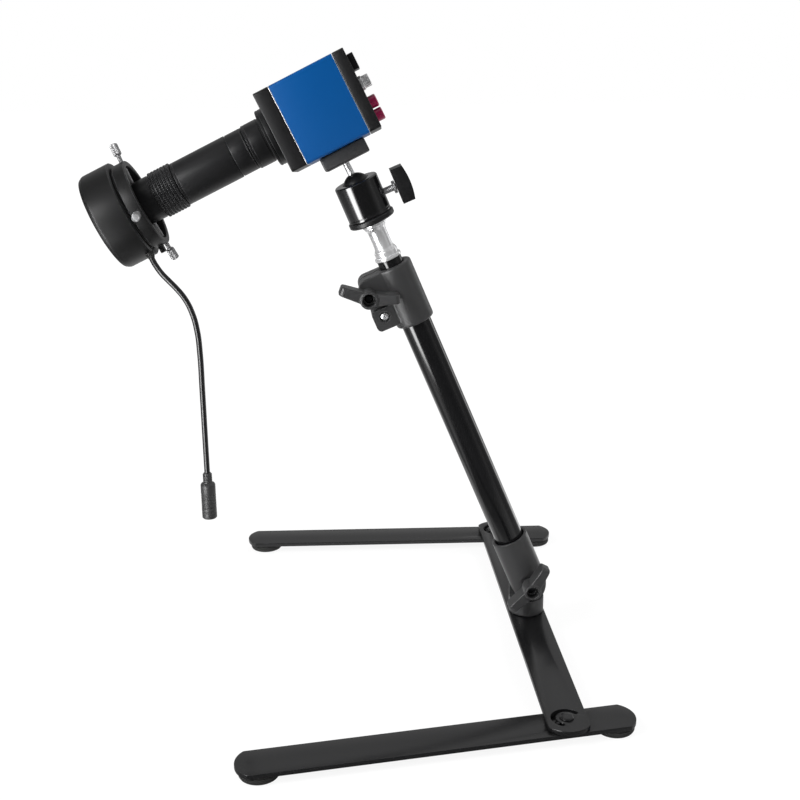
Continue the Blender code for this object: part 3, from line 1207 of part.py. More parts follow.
def build_ring_light(light):
    """The ring light round the end of the lens, with its clamp ring; local Z is the optical axis."""
    black = anodised_black()
    outer = LIGHT_DIAMETER / 2
    bore = LIGHT_BORE / 2
    groove = GROOVE_DIAMETER / 2
    well_outer, well_inner = light_well()
    floor = LIGHT_FRONT - LIGHT_WELL_DEPTH
    groove_top = LIGHT_REAR + GROOVE_WIDTH
    outline = [(bore, LIGHT_FRONT), (bore, LIGHT_REAR), (groove, LIGHT_REAR), (groove, groove_top)]
    outline += [(outer - 0.0008, groove_top), (outer, groove_top + 0.0008)]
    rim_edge = min(LIGHT_EDGE, LIGHT_RIM * 0.9)
    outline += [(outer, LIGHT_FRONT - LIGHT_EDGE)]
    outline += [
        (outer - rim_edge * 0.25, LIGHT_FRONT - LIGHT_EDGE * 0.35),
        (outer - rim_edge * 0.8, LIGHT_FRONT),
    ]
    outline += [
        (well_outer, LIGHT_FRONT),
        (well_outer, floor),
        (well_inner, floor),
        (well_inner, LIGHT_FRONT),
    ]
    housing = piece(
        "ring_light_housing", turned("ring_light_housing", outline, LARGE_STEPS), black, light
    )
    gland_axis = frame_at("gland_axis", light, (0.0, 0.0, GLAND_STATION), radial_turn(GLAND_ANGLE))
    seat = outer - GLAND_SEAT
    hole = rod(
        "gland_hole_tool",
        GLAND_DIAMETER + 2 * CLEARANCE,
        seat - CLEARANCE,
        LIGHT_DIAMETER,
        SMALL_STEPS,
    )
    combine(housing, shape_tool(hole, gland_axis), "DIFFERENCE")
    gland = rod("cord_gland", GLAND_DIAMETER, seat, outer + GLAND_PROUD, SMALL_STEPS)
    piece("cord_gland", gland, rubber_black(), gland_axis)

    gap = CLEARANCE
    board_rear = floor + gap
    board = [(well_inner + gap, board_rear), (well_outer - gap, board_rear)]
    board += [
        (well_outer - gap, board_rear + LED_BOARD_THICKNESS),
        (well_inner + gap, board_rear + LED_BOARD_THICKNESS),
    ]
    white = finish("board_white", (0.8, 0.8, 0.78), 0.5)
    piece("led_board", turned("led_board", board, MEDIUM_STEPS), white, light)
    lens_front = LIGHT_FRONT - DIFFUSER_DEPTH
    lens_rear = lens_front - DIFFUSER_THICKNESS
    cover = [(well_inner + gap, lens_rear), (well_outer - gap, lens_rear), (well_outer - gap, lens_front)]
    cover += [(well_inner + gap, lens_front)]
    milky = finish("milky_cover", (0.85, 0.86, 0.88), 0.3, 0.0, 0.5)
    piece("light_cover", turned("light_cover", cover, MEDIUM_STEPS), milky, light)

    outer = CLAMP_RING_DIAMETER / 2
    inner = CLAMP_RING_BORE / 2
    chamfer = 0.0005
    ring_floor = CLAMP_RING_FRONT - CLAMP_RING_FLOOR
    outline = [(bore, CLAMP_RING_FRONT), (outer, CLAMP_RING_FRONT), (outer, CLAMP_RING_REAR + chamfer)]
    outline += [(outer - chamfer, CLAMP_RING_REAR), (inner + chamfer, CLAMP_RING_REAR)]
    outline += [(inner, CLAMP_RING_REAR + chamfer), (inner, ring_floor), (bore, ring_floor)]
    clamp = piece("clamp_ring", turned("clamp_ring", outline, LARGE_STEPS), black, light)
    boss = block(
        "clamp_boss_tool",
        (CLAMP_BOSS_REACH - inner, CLAMP_BOSS_WIDTH, CLAMP_BOSS_LENGTH),
        0.0005,
        1,
    )
    boss_place = (
        -(CLAMP_BOSS_REACH + inner) / 2 - 0.0002, 0.0, ring_floor - CLAMP_BOSS_LENGTH / 2 + 0.0004
    )
    combine(clamp, shape_tool(boss, light, boss_place), "UNION")
    return clamp


def radial_turn(angle):
    """Turn that points local Z out from the optical axis.

    The angle runs from the case's top to the near side.
    """
    return (0.0, 90.0, -angle)


def build_thumb_screw(name, light, clamp, angle):
    """A thumb screw that grips the lens neck through the clamp ring."""
    axis = frame_at(f"{name}_axis", light, (0.0, 0.0, THUMB_STATION), radial_turn(angle))
    hole_diameter = THUMB_SCREW_DIAMETER + 2 * CLEARANCE
    hole = rod(
        f"{name}_tool", hole_diameter, CLAMP_RING_BORE / 2 - 0.002, CLAMP_RING_DIAMETER, TINY_STEPS
    )
    combine(clamp, shape_tool(hole, axis), "DIFFERENCE")
    shank = THUMB_SCREW_DIAMETER / 2
    head = THUMB_HEAD_DIAMETER / 2
    tip = NECK_DIAMETER / 2 + CLEARANCE
    end = THUMB_HEAD_START + THUMB_HEAD_LENGTH
    chamfer = THUMB_HEAD_CHAMFER
    outline = [
        (0.0, end), (head - chamfer, end), (head, end - chamfer), (head, THUMB_HEAD_START + chamfer)
    ]
    outline += [(head - chamfer, THUMB_HEAD_START), (shank, THUMB_HEAD_START)]
    outline += [(shank, tip + 0.0006), (shank * 0.6, tip), (0.0, tip)]
    piece(name, turned(name, outline, TINY_STEPS), plated_steel(), axis)


def build_lead(stand):
    """The short lead of the ring light, hanging from its gland, with the coupler at its end.

    The route's points are in the stand's own frame.
    """
    route = [
        (-0.2402, -0.0078, 0.2695),
        (-0.2388, -0.0096, 0.2666),
        (-0.2363, -0.0122, 0.2628),
        (-0.2331, -0.0146, 0.2589),
        (-0.2290, -0.0164, 0.2548),
        (-0.2247, -0.0176, 0.2503),
        (-0.2201, -0.0184, 0.2442),
        (-0.2161, -0.0189, 0.2352),
        (-0.2136, -0.0191, 0.2235),
        (-0.2127, -0.0192, 0.2090),
        (-0.2126, -0.0192, 0.1850),
        (-0.2126, -0.0192, 0.1550),
        (-0.2126, -0.0192, 0.1300),
    ]
    points = smooth_route(route, CORD_POINT_SPACING)
    curve = bpy.data.curves.new("light_cord", "CURVE")
    curve.dimensions = "3D"
    curve.bevel_depth = CORD_DIAMETER / 2
    curve.bevel_resolution = 2
    curve.use_fill_caps = True
    spline = curve.splines.new("POLY")
    spline.points.add(len(points) - 1)
    for slot, point in zip(spline.points, points):
        slot.co = (*point, 1.0)
    cord = bpy.data.objects.new("light_cord", curve)
    bpy.context.scene.collection.objects.link(cord)
    curve.materials.append(finish("cord_black", (0.015, 0.015, 0.016), 0.4))
    cord.parent = stand

    end = Vector(route[-1])
    neck = COUPLER_NECK_DIAMETER / 2
    body = COUPLER_DIAMETER / 2
    bore = COUPLER_BORE_DIAMETER / 2
    edge = COUPLER_EDGE
    neck_end = -COUPLER_NECK_LENGTH
    tail = -COUPLER_LENGTH
    outline = [
        (0.0, 0.0),
        (neck, 0.0),
        (neck * 1.15, neck_end),
        (body - edge, neck_end),
        (body, neck_end - edge),
    ]
    outline += [(body, tail + edge), (body - edge, tail), (bore, tail), (bore, tail + COUPLER_BORE_DEPTH)]
    outline += [(0.0, tail + COUPLER_BORE_DEPTH)]
    place = (end.x, end.y, end.z - CLEARANCE)
    piece("cord_coupler", turned("cord_coupler", outline, SMALL_STEPS), moulded_black(), stand, place)


def settle_on_table(stand, off_the_count):
    """Move the stand so that the origin is on the table under the middle of the object."""
    bpy.context.view_layer.update()
    graph = bpy.context.evaluated_depsgraph_get()
    low = Vector((math.inf,) * 3)
    high = Vector((-math.inf,) * 3)
    for item in bpy.data.objects:
        if item.type == "EMPTY" or item.hide_render or item.name in off_the_count:
            continue
        seen = item.evaluated_get(graph)
        mesh = seen.to_mesh()
        for vertex in mesh.vertices:
            place = item.matrix_world @ vertex.co
            low = Vector(map(min, low, place))
            high = Vector(map(max, high, place))
        seen.to_mesh_clear()
    middle = (low + high) / 2
    stand.location = (-middle.x, -middle.y, -low.z)
    bpy.context.view_layer.update()


def build():
    clear_scene()
    stand = frame_at("stand", None)
    build_crossbar(stand)
    for name, side, angle in (("near_leg", -1, NEAR_LEG_ANGLE), ("far_leg", 1, FAR_LEG_ANGLE)):
        build_leg(name, stand, side, angle)
        build_rivet(f"{name}_rivet", stand, side)
    hinge = build_pillar(stand)
    build_tilt_bolt(hinge)

    pole = frame_at("pole", stand, (0.0, 0.0, HINGE_HEIGHT), (0.0, -POLE_LEAN, 0.0))
    build_tilt_socket(pole)
    knob_seat = -SOCKET_DIAMETER / 2 + SPOT_FACE_DEPTH - CLEARANCE
    tilt_axis = frame_at("tilt_knob_axis", stand, (0.0, knob_seat, HINGE_HEIGHT), (90.0, 0.0, 0.0))
    build_wing_knob("tilt_knob", tilt_axis, (0.0, 0.0, 0.0), (0.0, 0.0, TILT_KNOB_TURN))

    slide = frame_at("extension", pole)
    build_tubes(pole, slide)
    build_collar(pole)
    build_collar_fasteners(pole)
    knob_place = (-CLAMP_BOLT_REACH, -CLAMP_EAR_THICKNESS / 2 - CLEARANCE, CLAMP_BOLT_STATION)
    clamp_axis = frame_at("clamp_knob_axis", pole, knob_place, (90.0, 0.0, 0.0))
    build_wing_knob("clamp_knob", clamp_axis, (0.0, 0.0, 0.0), (0.0, 0.0, COLLAR_KNOB_TURN))
    build_spigot(slide)

    turret = frame_at("turret", slide)
    build_ball_head(turret)
    build_lock_knob(turret)
    ball_frame = frame_at(
        "ball_centre", turret, (0.0, 0.0, BALL_STATION), (HEAD_ROLL, POLE_LEAN - HEAD_DROP, 0.0)
    )
    build_ball(ball_frame)
    camera = frame_at("camera", ball_frame)
    optic = frame_at("optical_axis", camera, (0.0, 0.0, OPTICAL_HEIGHT), (0.0, -90.0, 0.0))
    build_camera(camera, optic)
    zoom = frame_at("zoom_axis", optic, (0.0, 0.0, ZOOM_RING_START))
    build_lens(optic, zoom)
    light = frame_at("ring_light", optic)
    clamp = build_ring_light(light)
    for number, angle in enumerate(THUMB_ANGLES, 1):
        build_thumb_screw(f"thumb_screw_{number}", light, clamp, angle)
    build_lead(stand)
    settle_on_table(stand, ("light_cord", "cord_coupler"))


build()
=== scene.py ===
# %% [markdown]
# # A video microscope on a folding stand
#
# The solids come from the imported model, and stay where it puts them. This script dresses
# them: each visible solid gets a finely modelled piece in its place, made the way one would
# make it by hand, and a finish that is mixed from nodes. All sizes are in metres.

import math

import bpy
from mathutils import Euler, Matrix, Vector


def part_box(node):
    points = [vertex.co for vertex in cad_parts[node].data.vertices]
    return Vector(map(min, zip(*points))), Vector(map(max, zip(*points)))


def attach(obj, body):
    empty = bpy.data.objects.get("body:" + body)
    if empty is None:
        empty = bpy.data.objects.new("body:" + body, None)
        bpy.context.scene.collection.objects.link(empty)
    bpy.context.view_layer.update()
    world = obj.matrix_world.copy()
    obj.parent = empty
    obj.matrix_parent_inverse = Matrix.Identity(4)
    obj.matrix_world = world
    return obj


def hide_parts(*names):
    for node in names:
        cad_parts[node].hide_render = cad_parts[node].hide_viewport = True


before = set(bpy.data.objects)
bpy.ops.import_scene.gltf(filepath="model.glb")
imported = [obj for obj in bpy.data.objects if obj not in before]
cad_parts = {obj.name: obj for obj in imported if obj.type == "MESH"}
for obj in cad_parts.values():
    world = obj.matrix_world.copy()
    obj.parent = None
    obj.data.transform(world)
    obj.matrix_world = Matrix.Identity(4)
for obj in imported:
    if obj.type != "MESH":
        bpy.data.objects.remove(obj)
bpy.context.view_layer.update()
MM = 0.001

# %% [markdown]
# ## Where the groups stand
#
# The leaning pole, the ball, the lens and the two leg pivots each have a frame of their own.
# A piece is made upright at the world's origin, where it is easy to draw, and then set into
# its frame. The frames start from the hinge at the foot of the pole, in the middle of the
# round post.

# %% The frames of the moving groups
POLE_LEAN = 22.36
HEAD_DROP = 25.9
HEAD_ROLL = -8.75
HINGE_HEIGHT = 36.5 * MM
BALL_STATION = 293.1 * MM
OPTICAL_HEIGHT = 50.9 * MM
PIVOT_REACH = 139.0 * MM
LEG_ANGLES = {"near_leg": 7.3, "far_leg": -3.0}


def middle(node):
    """The middle of a CAD node's box."""
    low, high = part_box(node)
    return (low + high) / 2


def turn(degrees, axis):
    return Matrix.Rotation(math.radians(degrees), 4, axis)


def shift(x=0.0, y=0.0, z=0.0):
    return Matrix.Translation((x, y, z))


post = middle("knuckle_pillar")
STAND = shift(post.x, post.y)
HINGE = STAND @ shift(z=HINGE_HEIGHT)
POLE = HINGE @ turn(-POLE_LEAN, "Y")
head_turn = Euler((math.radians(HEAD_ROLL), math.radians(POLE_LEAN - HEAD_DROP), 0.0))
BALL = POLE @ shift(z=BALL_STATION) @ head_turn.to_matrix().to_4x4()
OPTIC = BALL @ shift(z=OPTICAL_HEIGHT) @ turn(-90, "Y")
LEGS = {
    "near_leg": STAND @ shift(y=-PIVOT_REACH) @ turn(LEG_ANGLES["near_leg"], "Z"),
    "far_leg": STAND @ shift(y=PIVOT_REACH) @ turn(LEG_ANGLES["far_leg"], "Z"),
}
print("ball centre:", [round(value, 4) for value in BALL.translation])

# %% [markdown]
# ## The camera
#
# The photograph looks slightly down on the stand from its near side. Its viewpoint was found
# by fitting straight edges and round parts of known shape, so the camera is given as a place
# beside the hinge and three angles, with the focal length that goes with them.

# %% The camera at the photograph's viewpoint
CAMERA_FROM_POST = Vector((-0.14877, -0.79146, 0.42642))
CAMERA_YAW = -0.0784
CAMERA_PITCH = 0.3146
CAMERA_ROLL = 0.009
FOCAL_LENGTH = 57.445

view_turn = Matrix.Rotation(CAMERA_YAW, 4, "Z") @ Matrix.Rotation(-CAMERA_PITCH, 4, "X")
view_turn = view_turn @ Matrix.Rotation(CAMERA_ROLL, 4, "Y") @ turn(90, "X")
bpy.ops.object.camera_add()
camera = bpy.context.active_object
camera.name = "photo_camera"
camera.data.lens = FOCAL_LENGTH
camera.data.sensor_width = 36.0
camera.data.clip_start = 0.01
camera.data.clip_end = 20.0
camera.matrix_world = Matrix.Translation(STAND.translation + CAMERA_FROM_POST) @ view_turn
bpy.context.scene.camera = camera
print("camera at", [round(value, 3) for value in camera.matrix_world.translation])

# %% [markdown]
# ## The cord
#
# The lead leaves its gland at the lower near side of the ring light, bows over and hangs
# down to the coupler at its end. It is a short lead of about 15 cm, 3.6 mm thick and round.
# A curve with one smooth spline is the natural form for it. The points are the ones
# that the solid follows.

# %% The cord on its route
CORD_ROUTE = [
    (-0.2402, -0.0078, 0.2695),
    (-0.2388, -0.0096, 0.2666),
    (-0.2363, -0.0122, 0.2628),
    (-0.2331, -0.0146, 0.2589),
    (-0.2290, -0.0164, 0.2548),
    (-0.2247, -0.0176, 0.2503),
    (-0.2201, -0.0184, 0.2442),
    (-0.2161, -0.0189, 0.2352),
    (-0.2136, -0.0191, 0.2235),
    (-0.2127, -0.0192, 0.2090),
    (-0.2126, -0.0192, 0.1850),
    (-0.2126, -0.0192, 0.1550),
    (-0.2126, -0.0192, 0.1300),
]
CORD_DIAMETER = 3.6 * MM

cord_points = [STAND @ Vector(point) for point in CORD_ROUTE]
cord_curve = bpy.data.curves.new("light_cord_line", "CURVE")
cord_curve.dimensions = "3D"
cord_curve.bevel_depth = CORD_DIAMETER / 2
cord_curve.bevel_resolution = 6
cord_curve.resolution_u = 12
cord_curve.use_fill_caps = True
spline = cord_curve.splines.new("BEZIER")
spline.bezier_points.add(len(cord_points) - 1)
for knot, point in zip(spline.bezier_points, cord_points):
    knot.co = point
    knot.handle_left_type = "AUTO"
    knot.handle_right_type = "AUTO"
cord = bpy.data.objects.new("lead", cord_curve)
bpy.context.scene.collection.objects.link(cord)

# %% [markdown]
# ## Shared effects
#
# Three effects return in several finishes, so each is a node group of its own. "Fine grain"
# is the texture of a powder coat, a moulded skin or a blasted metal. The edge group finds the
# edges and lightens them in broken patches: partly wear of a thinner coating, partly a painted
# highlight where an edge would catch light. "Settled dust" finds the faces that look up. All
# three read object coordinates or normals, so they stay on the piece when it moves.


# %% Node groups for grain, edges and dust
def new_group(name, inputs, outputs):
    tree = bpy.data.node_groups.new(name, "ShaderNodeTree")
    for label, value in inputs:
        socket = tree.interface.new_socket(label, in_out="INPUT", socket_type="NodeSocketFloat")
        socket.default_value = value
    for label in outputs:
        tree.interface.new_socket(label, in_out="OUTPUT", socket_type="NodeSocketFloat")
    return tree, tree.nodes.new("NodeGroupInput"), tree.nodes.new("NodeGroupOutput")


def feed(tree, node, feeds):
    """Give inputs their values: a socket is linked, anything else is set."""
    for label, value in feeds.items():
        if isinstance(value, bpy.types.NodeSocket):
            tree.links.new(value, node.inputs[label])
        else:
            node.inputs[label].default_value = value
    return node


def add_node(tree, kind, feeds=None, **settings):
    node = tree.nodes.new(kind)
    for name, value in settings.items():
        setattr(node, name, value)
    return feed(tree, node, feeds or {})


def math_node(tree, operation, first, second, clamp=False):
    feeds = {0: first, 1: second}
    return add_node(tree, "ShaderNodeMath", feeds, operation=operation, use_clamp=clamp).outputs[0]


def noise_node(tree, vector, scale, detail=3.0, roughness=0.55):
    feeds = {"Vector": vector, "Scale": scale, "Detail": detail, "Roughness": roughness}
    return add_node(tree, "ShaderNodeTexNoise", feeds).outputs["Fac"]


grain, grain_in, grain_out = new_group(
    "Fine grain", [("Grains per metre", 2500.0), ("Patches per metre", 30.0)], ["Grain", "Patches"]
)
coordinates = add_node(grain, "ShaderNodeTexCoord").outputs["Object"]
fine = noise_node(grain, coordinates, grain_in.outputs["Grains per metre"], 2.0)
broad = noise_node(grain, coordinates, grain_in.outputs["Patches per metre"], 4.0)
feed(grain, grain_out, {"Grain": fine, "Patches": broad})

# The edge mask lightens edges in noisy patches: a painted highlight, partly worn coating.
EDGE_GAIN = 9.0
EDGE_NOISE = 400.0
edges, edges_in, edges_out = new_group("Edge wear and painted highlight", [("Width", 0.0004), ("Amount", 0.5)], ["Mask"])
rounding = add_node(edges, "ShaderNodeBevel", {"Radius": edges_in.outputs["Width"]}, samples=4)
true_normal = add_node(edges, "ShaderNodeNewGeometry").outputs["Normal"]
normals = {0: rounding.outputs["Normal"], 1: true_normal}
agreement = add_node(edges, "ShaderNodeVectorMath", normals, operation="DOT_PRODUCT")
bend = math_node(edges, "SUBTRACT", 1.0, agreement.outputs["Value"])
bend = math_node(edges, "MULTIPLY", bend, EDGE_GAIN, clamp=True)
edge_place = add_node(edges, "ShaderNodeTexCoord").outputs["Object"]
worn_and_highlit = math_node(edges, "MULTIPLY", bend, noise_node(edges, edge_place, EDGE_NOISE))
mask = math_node(edges, "MULTIPLY", worn_and_highlit, edges_in.outputs["Amount"], clamp=True)
feed(edges, edges_out, {"Mask": mask})

SPECK_SCALE = 900.0
dust, dust_in, dust_out = new_group("Settled dust", [("Amount", 0.2)], ["Mask"])
dust_place = add_node(dust, "ShaderNodeTexCoord")
upward = add_node(dust, "ShaderNodeSeparateXYZ", {0: dust_place.outputs["Normal"]})
specks = noise_node(dust, dust_place.outputs["Object"], SPECK_SCALE, 6.0, 0.7)
specks = math_node(dust, "SUBTRACT", specks, 0.5, clamp=True)
specks = math_node(dust, "MULTIPLY", specks, 3.0, clamp=True)
lying = math_node(dust, "MULTIPLY", specks, math_node(dust, "MAXIMUM", upward.outputs["Z"], 0.0))
feed(dust, dust_out, {"Mask": math_node(dust, "MULTIPLY", lying, dust_in.outputs["Amount"])})
print("node groups:", [tree.name for tree in (grain, edges, dust)])

# %% [markdown]
# ## A finish from nodes
#
# Each finish is a Principled shader with its plain numbers on its own sockets. Its colour
# runs between a base and a second tone in soft patches, goes lighter on the edges, where a
# highlight is painted together with wear, and under dust, and its roughness follows the same
# patches. The grain goes to a Bump node. The values tell the finishes apart.


# %% Mix a finish
DUST_COLOUR = (0.32, 0.31, 0.29)
FINISHES = {}


def blend_colour(tree, factor, first, second):
    node = add_node(tree, "ShaderNodeMix", {"Factor": factor}, data_type="RGBA")
    for label, value in (("A_Color", first), ("B_Color", second)):
        slot = next(one for one in node.inputs if one.identifier == label)
        if isinstance(value, tuple):
            slot.default_value = (*value, 1.0)
        else:
            tree.links.new(value, slot)
    return next(one for one in node.outputs if one.identifier == "Result_Color")


def finish(
    name, base, second, edge, rough, grains, depth, patches=30.0, edge_width=0.0004,
    edge_amount=0.5, dust_amount=0.0, pattern=None, **shader_values,
):
    """A material; pattern may give a height socket that is added to the grain."""
    made = bpy.data.materials.new(name)
    made.use_nodes = True
    tree = made.node_tree

    def group(which, **values):
        feeds = {label.replace("_", " "): value for label, value in values.items()}
        return add_node(tree, "ShaderNodeGroup", feeds, node_tree=which).outputs

    skin = group(grain, Grains_per_metre=grains, Patches_per_metre=patches)
    colour = blend_colour(tree, skin["Patches"], base, second)
    # The edge colour on the edges is a painted highlight mixed with wear.
    bright = group(edges, Width=edge_width, Amount=edge_amount)
    colour = blend_colour(tree, bright["Mask"], colour, edge)
    if dust_amount:
        colour = blend_colour(tree, group(dust, Amount=dust_amount)["Mask"], colour, DUST_COLOUR)
    span = math_node(tree, "MULTIPLY", skin["Patches"], rough[1] - rough[0])
    height = skin["Grain"]
    if pattern:
        height = math_node(tree, "ADD", height, pattern(tree))
    bump = add_node(
        tree, "ShaderNodeBump", {"Strength": 1.0, "Distance": depth * MM, "Height": height}
    )
    feed(tree, tree.nodes["Principled BSDF"], {
        "Base Color": colour,
        "Roughness": math_node(tree, "ADD", span, rough[0]),
        "Normal": bump.outputs["Normal"],
        **{label.replace("_", " "): value for label, value in shader_values.items()},
    })
    FINISHES[name.replace(" ", "_")] = made


def rings_about(matrix, per_metre, strength):
    """Turning marks: fine rings round the local Z of a frame, as a lathe leaves them."""

    def pattern(tree):
        place = add_node(tree, "ShaderNodeTexCoord").outputs["Object"]
        feeds = {"Vector": place, "Location": matrix.translation, "Rotation": matrix.to_euler()}
        local = add_node(tree, "ShaderNodeMapping", feeds, vector_type="TEXTURE").outputs["Vector"]
        feeds = {"Vector": local, "Scale": (0.02, 0.02, 1.0)}
        squeezed = add_node(tree, "ShaderNodeMapping", feeds).outputs["Vector"]
        return math_node(tree, "MULTIPLY", noise_node(tree, squeezed, per_metre, 2.0), strength)

    return pattern


# %% [markdown]
# ### The finishes of this object
#
# The bars have a satin powder coat in which the post is mirrored softly, the moulded parts a
# fine grain, the tube a smooth paint. The lens parts are anodised after turning, so they keep
# fine rings. Steel is polished or plated, and the bolt ends get a near-black steel that paints
# the shade in the knob eyes. Black is never drawn at zero; only the painted edge highlight
# draws it lighter than the coat is, and elsewhere the light makes the greys.

# %% Blacks
finish(
    "powder black", (0.007, 0.007, 0.0075), (0.010, 0.010, 0.0105), (0.06, 0.06, 0.06),
    rough=(0.22, 0.30), grains=1500.0, depth=0.012,
    Specular_IOR_Level=0.42,
)
finish(
    "moulded black", (0.029, 0.029, 0.0295), (0.039, 0.039, 0.040), (0.14, 0.14, 0.14),
    rough=(0.36, 0.48), grains=3200.0, depth=0.025, dust_amount=0.05,
    Specular_IOR_Level=0.40,
)
finish(
    "tube black", (0.004, 0.004, 0.0045), (0.007, 0.007, 0.0075), (0.05, 0.05, 0.05),
    rough=(0.10, 0.17), grains=900.0, depth=0.008, edge_amount=0.3, dust_amount=0.02,
    Specular_IOR_Level=0.45,
)
finish(
    "gloss black", (0.003, 0.003, 0.0033), (0.004, 0.004, 0.0044), (0.12, 0.12, 0.125),
    rough=(0.12, 0.17), grains=5200.0, depth=0.001, edge_width=0.0003, edge_amount=0.6,
    Specular_IOR_Level=0.8,
)
finish(
    "anodised black", (0.007, 0.007, 0.0075), (0.011, 0.011, 0.0115), (0.16, 0.16, 0.165),
    rough=(0.30, 0.40), grains=5200.0, depth=0.006, edge_width=0.0003, edge_amount=0.7,
    Specular_IOR_Level=0.25,
)
finish(
    "lens black", (0.006, 0.006, 0.0065), (0.010, 0.010, 0.0105), (0.14, 0.14, 0.145),
    rough=(0.28, 0.38), grains=5200.0, depth=0.006, edge_width=0.0003, edge_amount=0.7,
    pattern=rings_about(OPTIC, 9000.0, 0.6), Specular_IOR_Level=0.25,
)
# The high edge amount of the ring light's black paints a light rim on its rims and bore edges: a
# painted highlight.
finish(
    "light black", (0.005, 0.005, 0.0052), (0.009, 0.009, 0.0092), (0.20, 0.20, 0.205),
    rough=(0.30, 0.42), grains=4200.0, depth=0.008, edge_width=0.0005, edge_amount=1.3,
    Specular_IOR_Level=0.22,
)
finish(
    "rubber black", (0.016, 0.016, 0.016), (0.026, 0.026, 0.025), (0.09, 0.09, 0.085),
    rough=(0.58, 0.74), grains=1800.0, depth=0.05, edge_width=0.0005, dust_amount=0.2,
    Specular_IOR_Level=0.25,
)
finish(
    "cord black", (0.007, 0.007, 0.0075), (0.012, 0.012, 0.0125), (0.05, 0.05, 0.05),
    rough=(0.26, 0.34), grains=1600.0, depth=0.004, edge_amount=0.0,
    Specular_IOR_Level=0.45,
)

# %% Colours, steel, glass and boards
finish(
    "anodised blue", (0.0002, 0.056, 0.205), (0.0002, 0.063, 0.228), (0.10, 0.36, 0.72),
    rough=(0.34, 0.42), grains=5200.0, depth=0.006, patches=14.0, edge_amount=0.6,
    Specular_IOR_Level=0.2,
)
finish(
    "polished steel", (0.68, 0.68, 0.69), (0.76, 0.76, 0.77), (0.90, 0.90, 0.90),
    rough=(0.20, 0.28), grains=6000.0, depth=0.0015, patches=60.0, edge_amount=0.3,
    Metallic=0.62,
)
finish(
    "plated steel", (0.22, 0.22, 0.225), (0.28, 0.28, 0.285), (0.62, 0.62, 0.62),
    rough=(0.38, 0.50), grains=4200.0, depth=0.006, patches=120.0, edge_amount=0.6,
    Metallic=0.5,
)
# A near-black steel that paints the shade of the knob eyes on the bolt ends, which are plated steel;
# the stop pins have it too.
finish(
    "oxide steel", (0.030, 0.030, 0.032), (0.045, 0.045, 0.047), (0.20, 0.20, 0.20),
    rough=(0.34, 0.46), grains=4200.0, depth=0.006, patches=120.0, edge_amount=0.6,
    Metallic=1.0,
)
finish(
    "crimson", (0.235, 0.003, 0.048), (0.275, 0.004, 0.058), (0.55, 0.10, 0.20),
    rough=(0.22, 0.32), grains=3000.0, depth=0.01, edge_amount=0.4, Coat_Weight=0.3,
)
finish(
    "coated glass", (0.82, 0.88, 0.97), (0.86, 0.90, 0.97), (0.95, 0.95, 1.0),
    rough=(0.01, 0.03), grains=3000.0, depth=0.0005, edge_amount=0.1, Transmission_Weight=1.0,
    IOR=1.52,
)
finish(
    "clear bulb", (0.86, 0.88, 0.86), (0.92, 0.93, 0.90), (1.0, 1.0, 1.0),
    rough=(0.04, 0.10), grains=2000.0, depth=0.002, edge_amount=0.1, Transmission_Weight=0.8,
    IOR=1.5,
)
finish(
    "milky cover", (0.80, 0.81, 0.82), (0.86, 0.86, 0.87), (0.95, 0.95, 0.95),
    rough=(0.18, 0.28), grains=1500.0, depth=0.02, edge_amount=0.2, Transmission_Weight=0.75,
)
finish(
    "board white", (0.72, 0.72, 0.70), (0.80, 0.80, 0.78), (0.9, 0.9, 0.88),
    rough=(0.35, 0.45), grains=3000.0, depth=0.01, edge_amount=0.2,
)
finish(
    "board green", (0.012, 0.11, 0.045), (0.02, 0.15, 0.06), (0.3, 0.35, 0.2),
    rough=(0.3, 0.45), grains=1500.0, depth=0.02, edge_amount=0.3,
)
print("finishes:", len(bpy.data.materials))

# %% [markdown]
# ### Finishes on the solids
#
# Every solid starts with the finish that the record names for it, so that those which stay
# in view are dressed too.

# %% Dress the CAD nodes
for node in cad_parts.values():
    old = node.data.materials[0].name.split(".")[0] if node.data.materials else "anodised_black"
    for place in node.material_slots:
        place.material = FINISHES.get(old.replace(" ", "_"), FINISHES["anodised_black"])

# %% [markdown]
# ## Helpers for modelling by hand
#
# Every operator acts on what is selected, so each piece starts from an empty selection, and
# faces, edges or points are picked in code by their place. Measures are in millimetres in
# the calls and in metres in the meshes.


# %% Pick, seat and finish a piece
def start_clean():
    """Object mode with nothing selected, and points as what edit mode selects."""
    if bpy.context.mode != "OBJECT":
        leave_edit()
    bpy.ops.object.select_all(action="DESELECT")
    bpy.context.tool_settings.mesh_select_mode = (True, False, False)


def leave_edit():
    bpy.ops.object.mode_set(mode="OBJECT")


def choose(made):
    start_clean()
    made.select_set(True)
    bpy.context.view_layer.objects.active = made


def pick(made, kind, test):
    """Enter edit mode with the points, edges or faces selected whose middle passes the test."""
    choose(made)
    mesh = made.data
    for group in (mesh.vertices, mesh.edges, mesh.polygons):
        group.foreach_set("select", [False] * len(group))
    points = mesh.vertices
    for item in {"VERT": points, "EDGE": mesh.edges, "FACE": mesh.polygons}[kind]:
        if kind == "EDGE":
            middle_of_item = (points[item.vertices[0]].co + points[item.vertices[1]].co) / 2
        else:
            middle_of_item = item.co if kind == "VERT" else item.center
        item.select = test(middle_of_item / MM)
    modes = tuple(kind == one for one in ("VERT", "EDGE", "FACE"))
    bpy.context.tool_settings.mesh_select_mode = modes
    bpy.ops.object.mode_set(mode="EDIT")


def seat(made, matrix):
    """Put a piece that was made at the origin into its frame, with its place in its mesh."""
    choose(made)
    made.matrix_world = matrix @ made.matrix_world
    bpy.ops.object.transform_apply(location=True, rotation=True, scale=True)
    return made


def smooth(made, angle=32.0):
    choose(made)
    bpy.ops.object.shade_smooth_by_angle(angle=math.radians(angle))
    return made


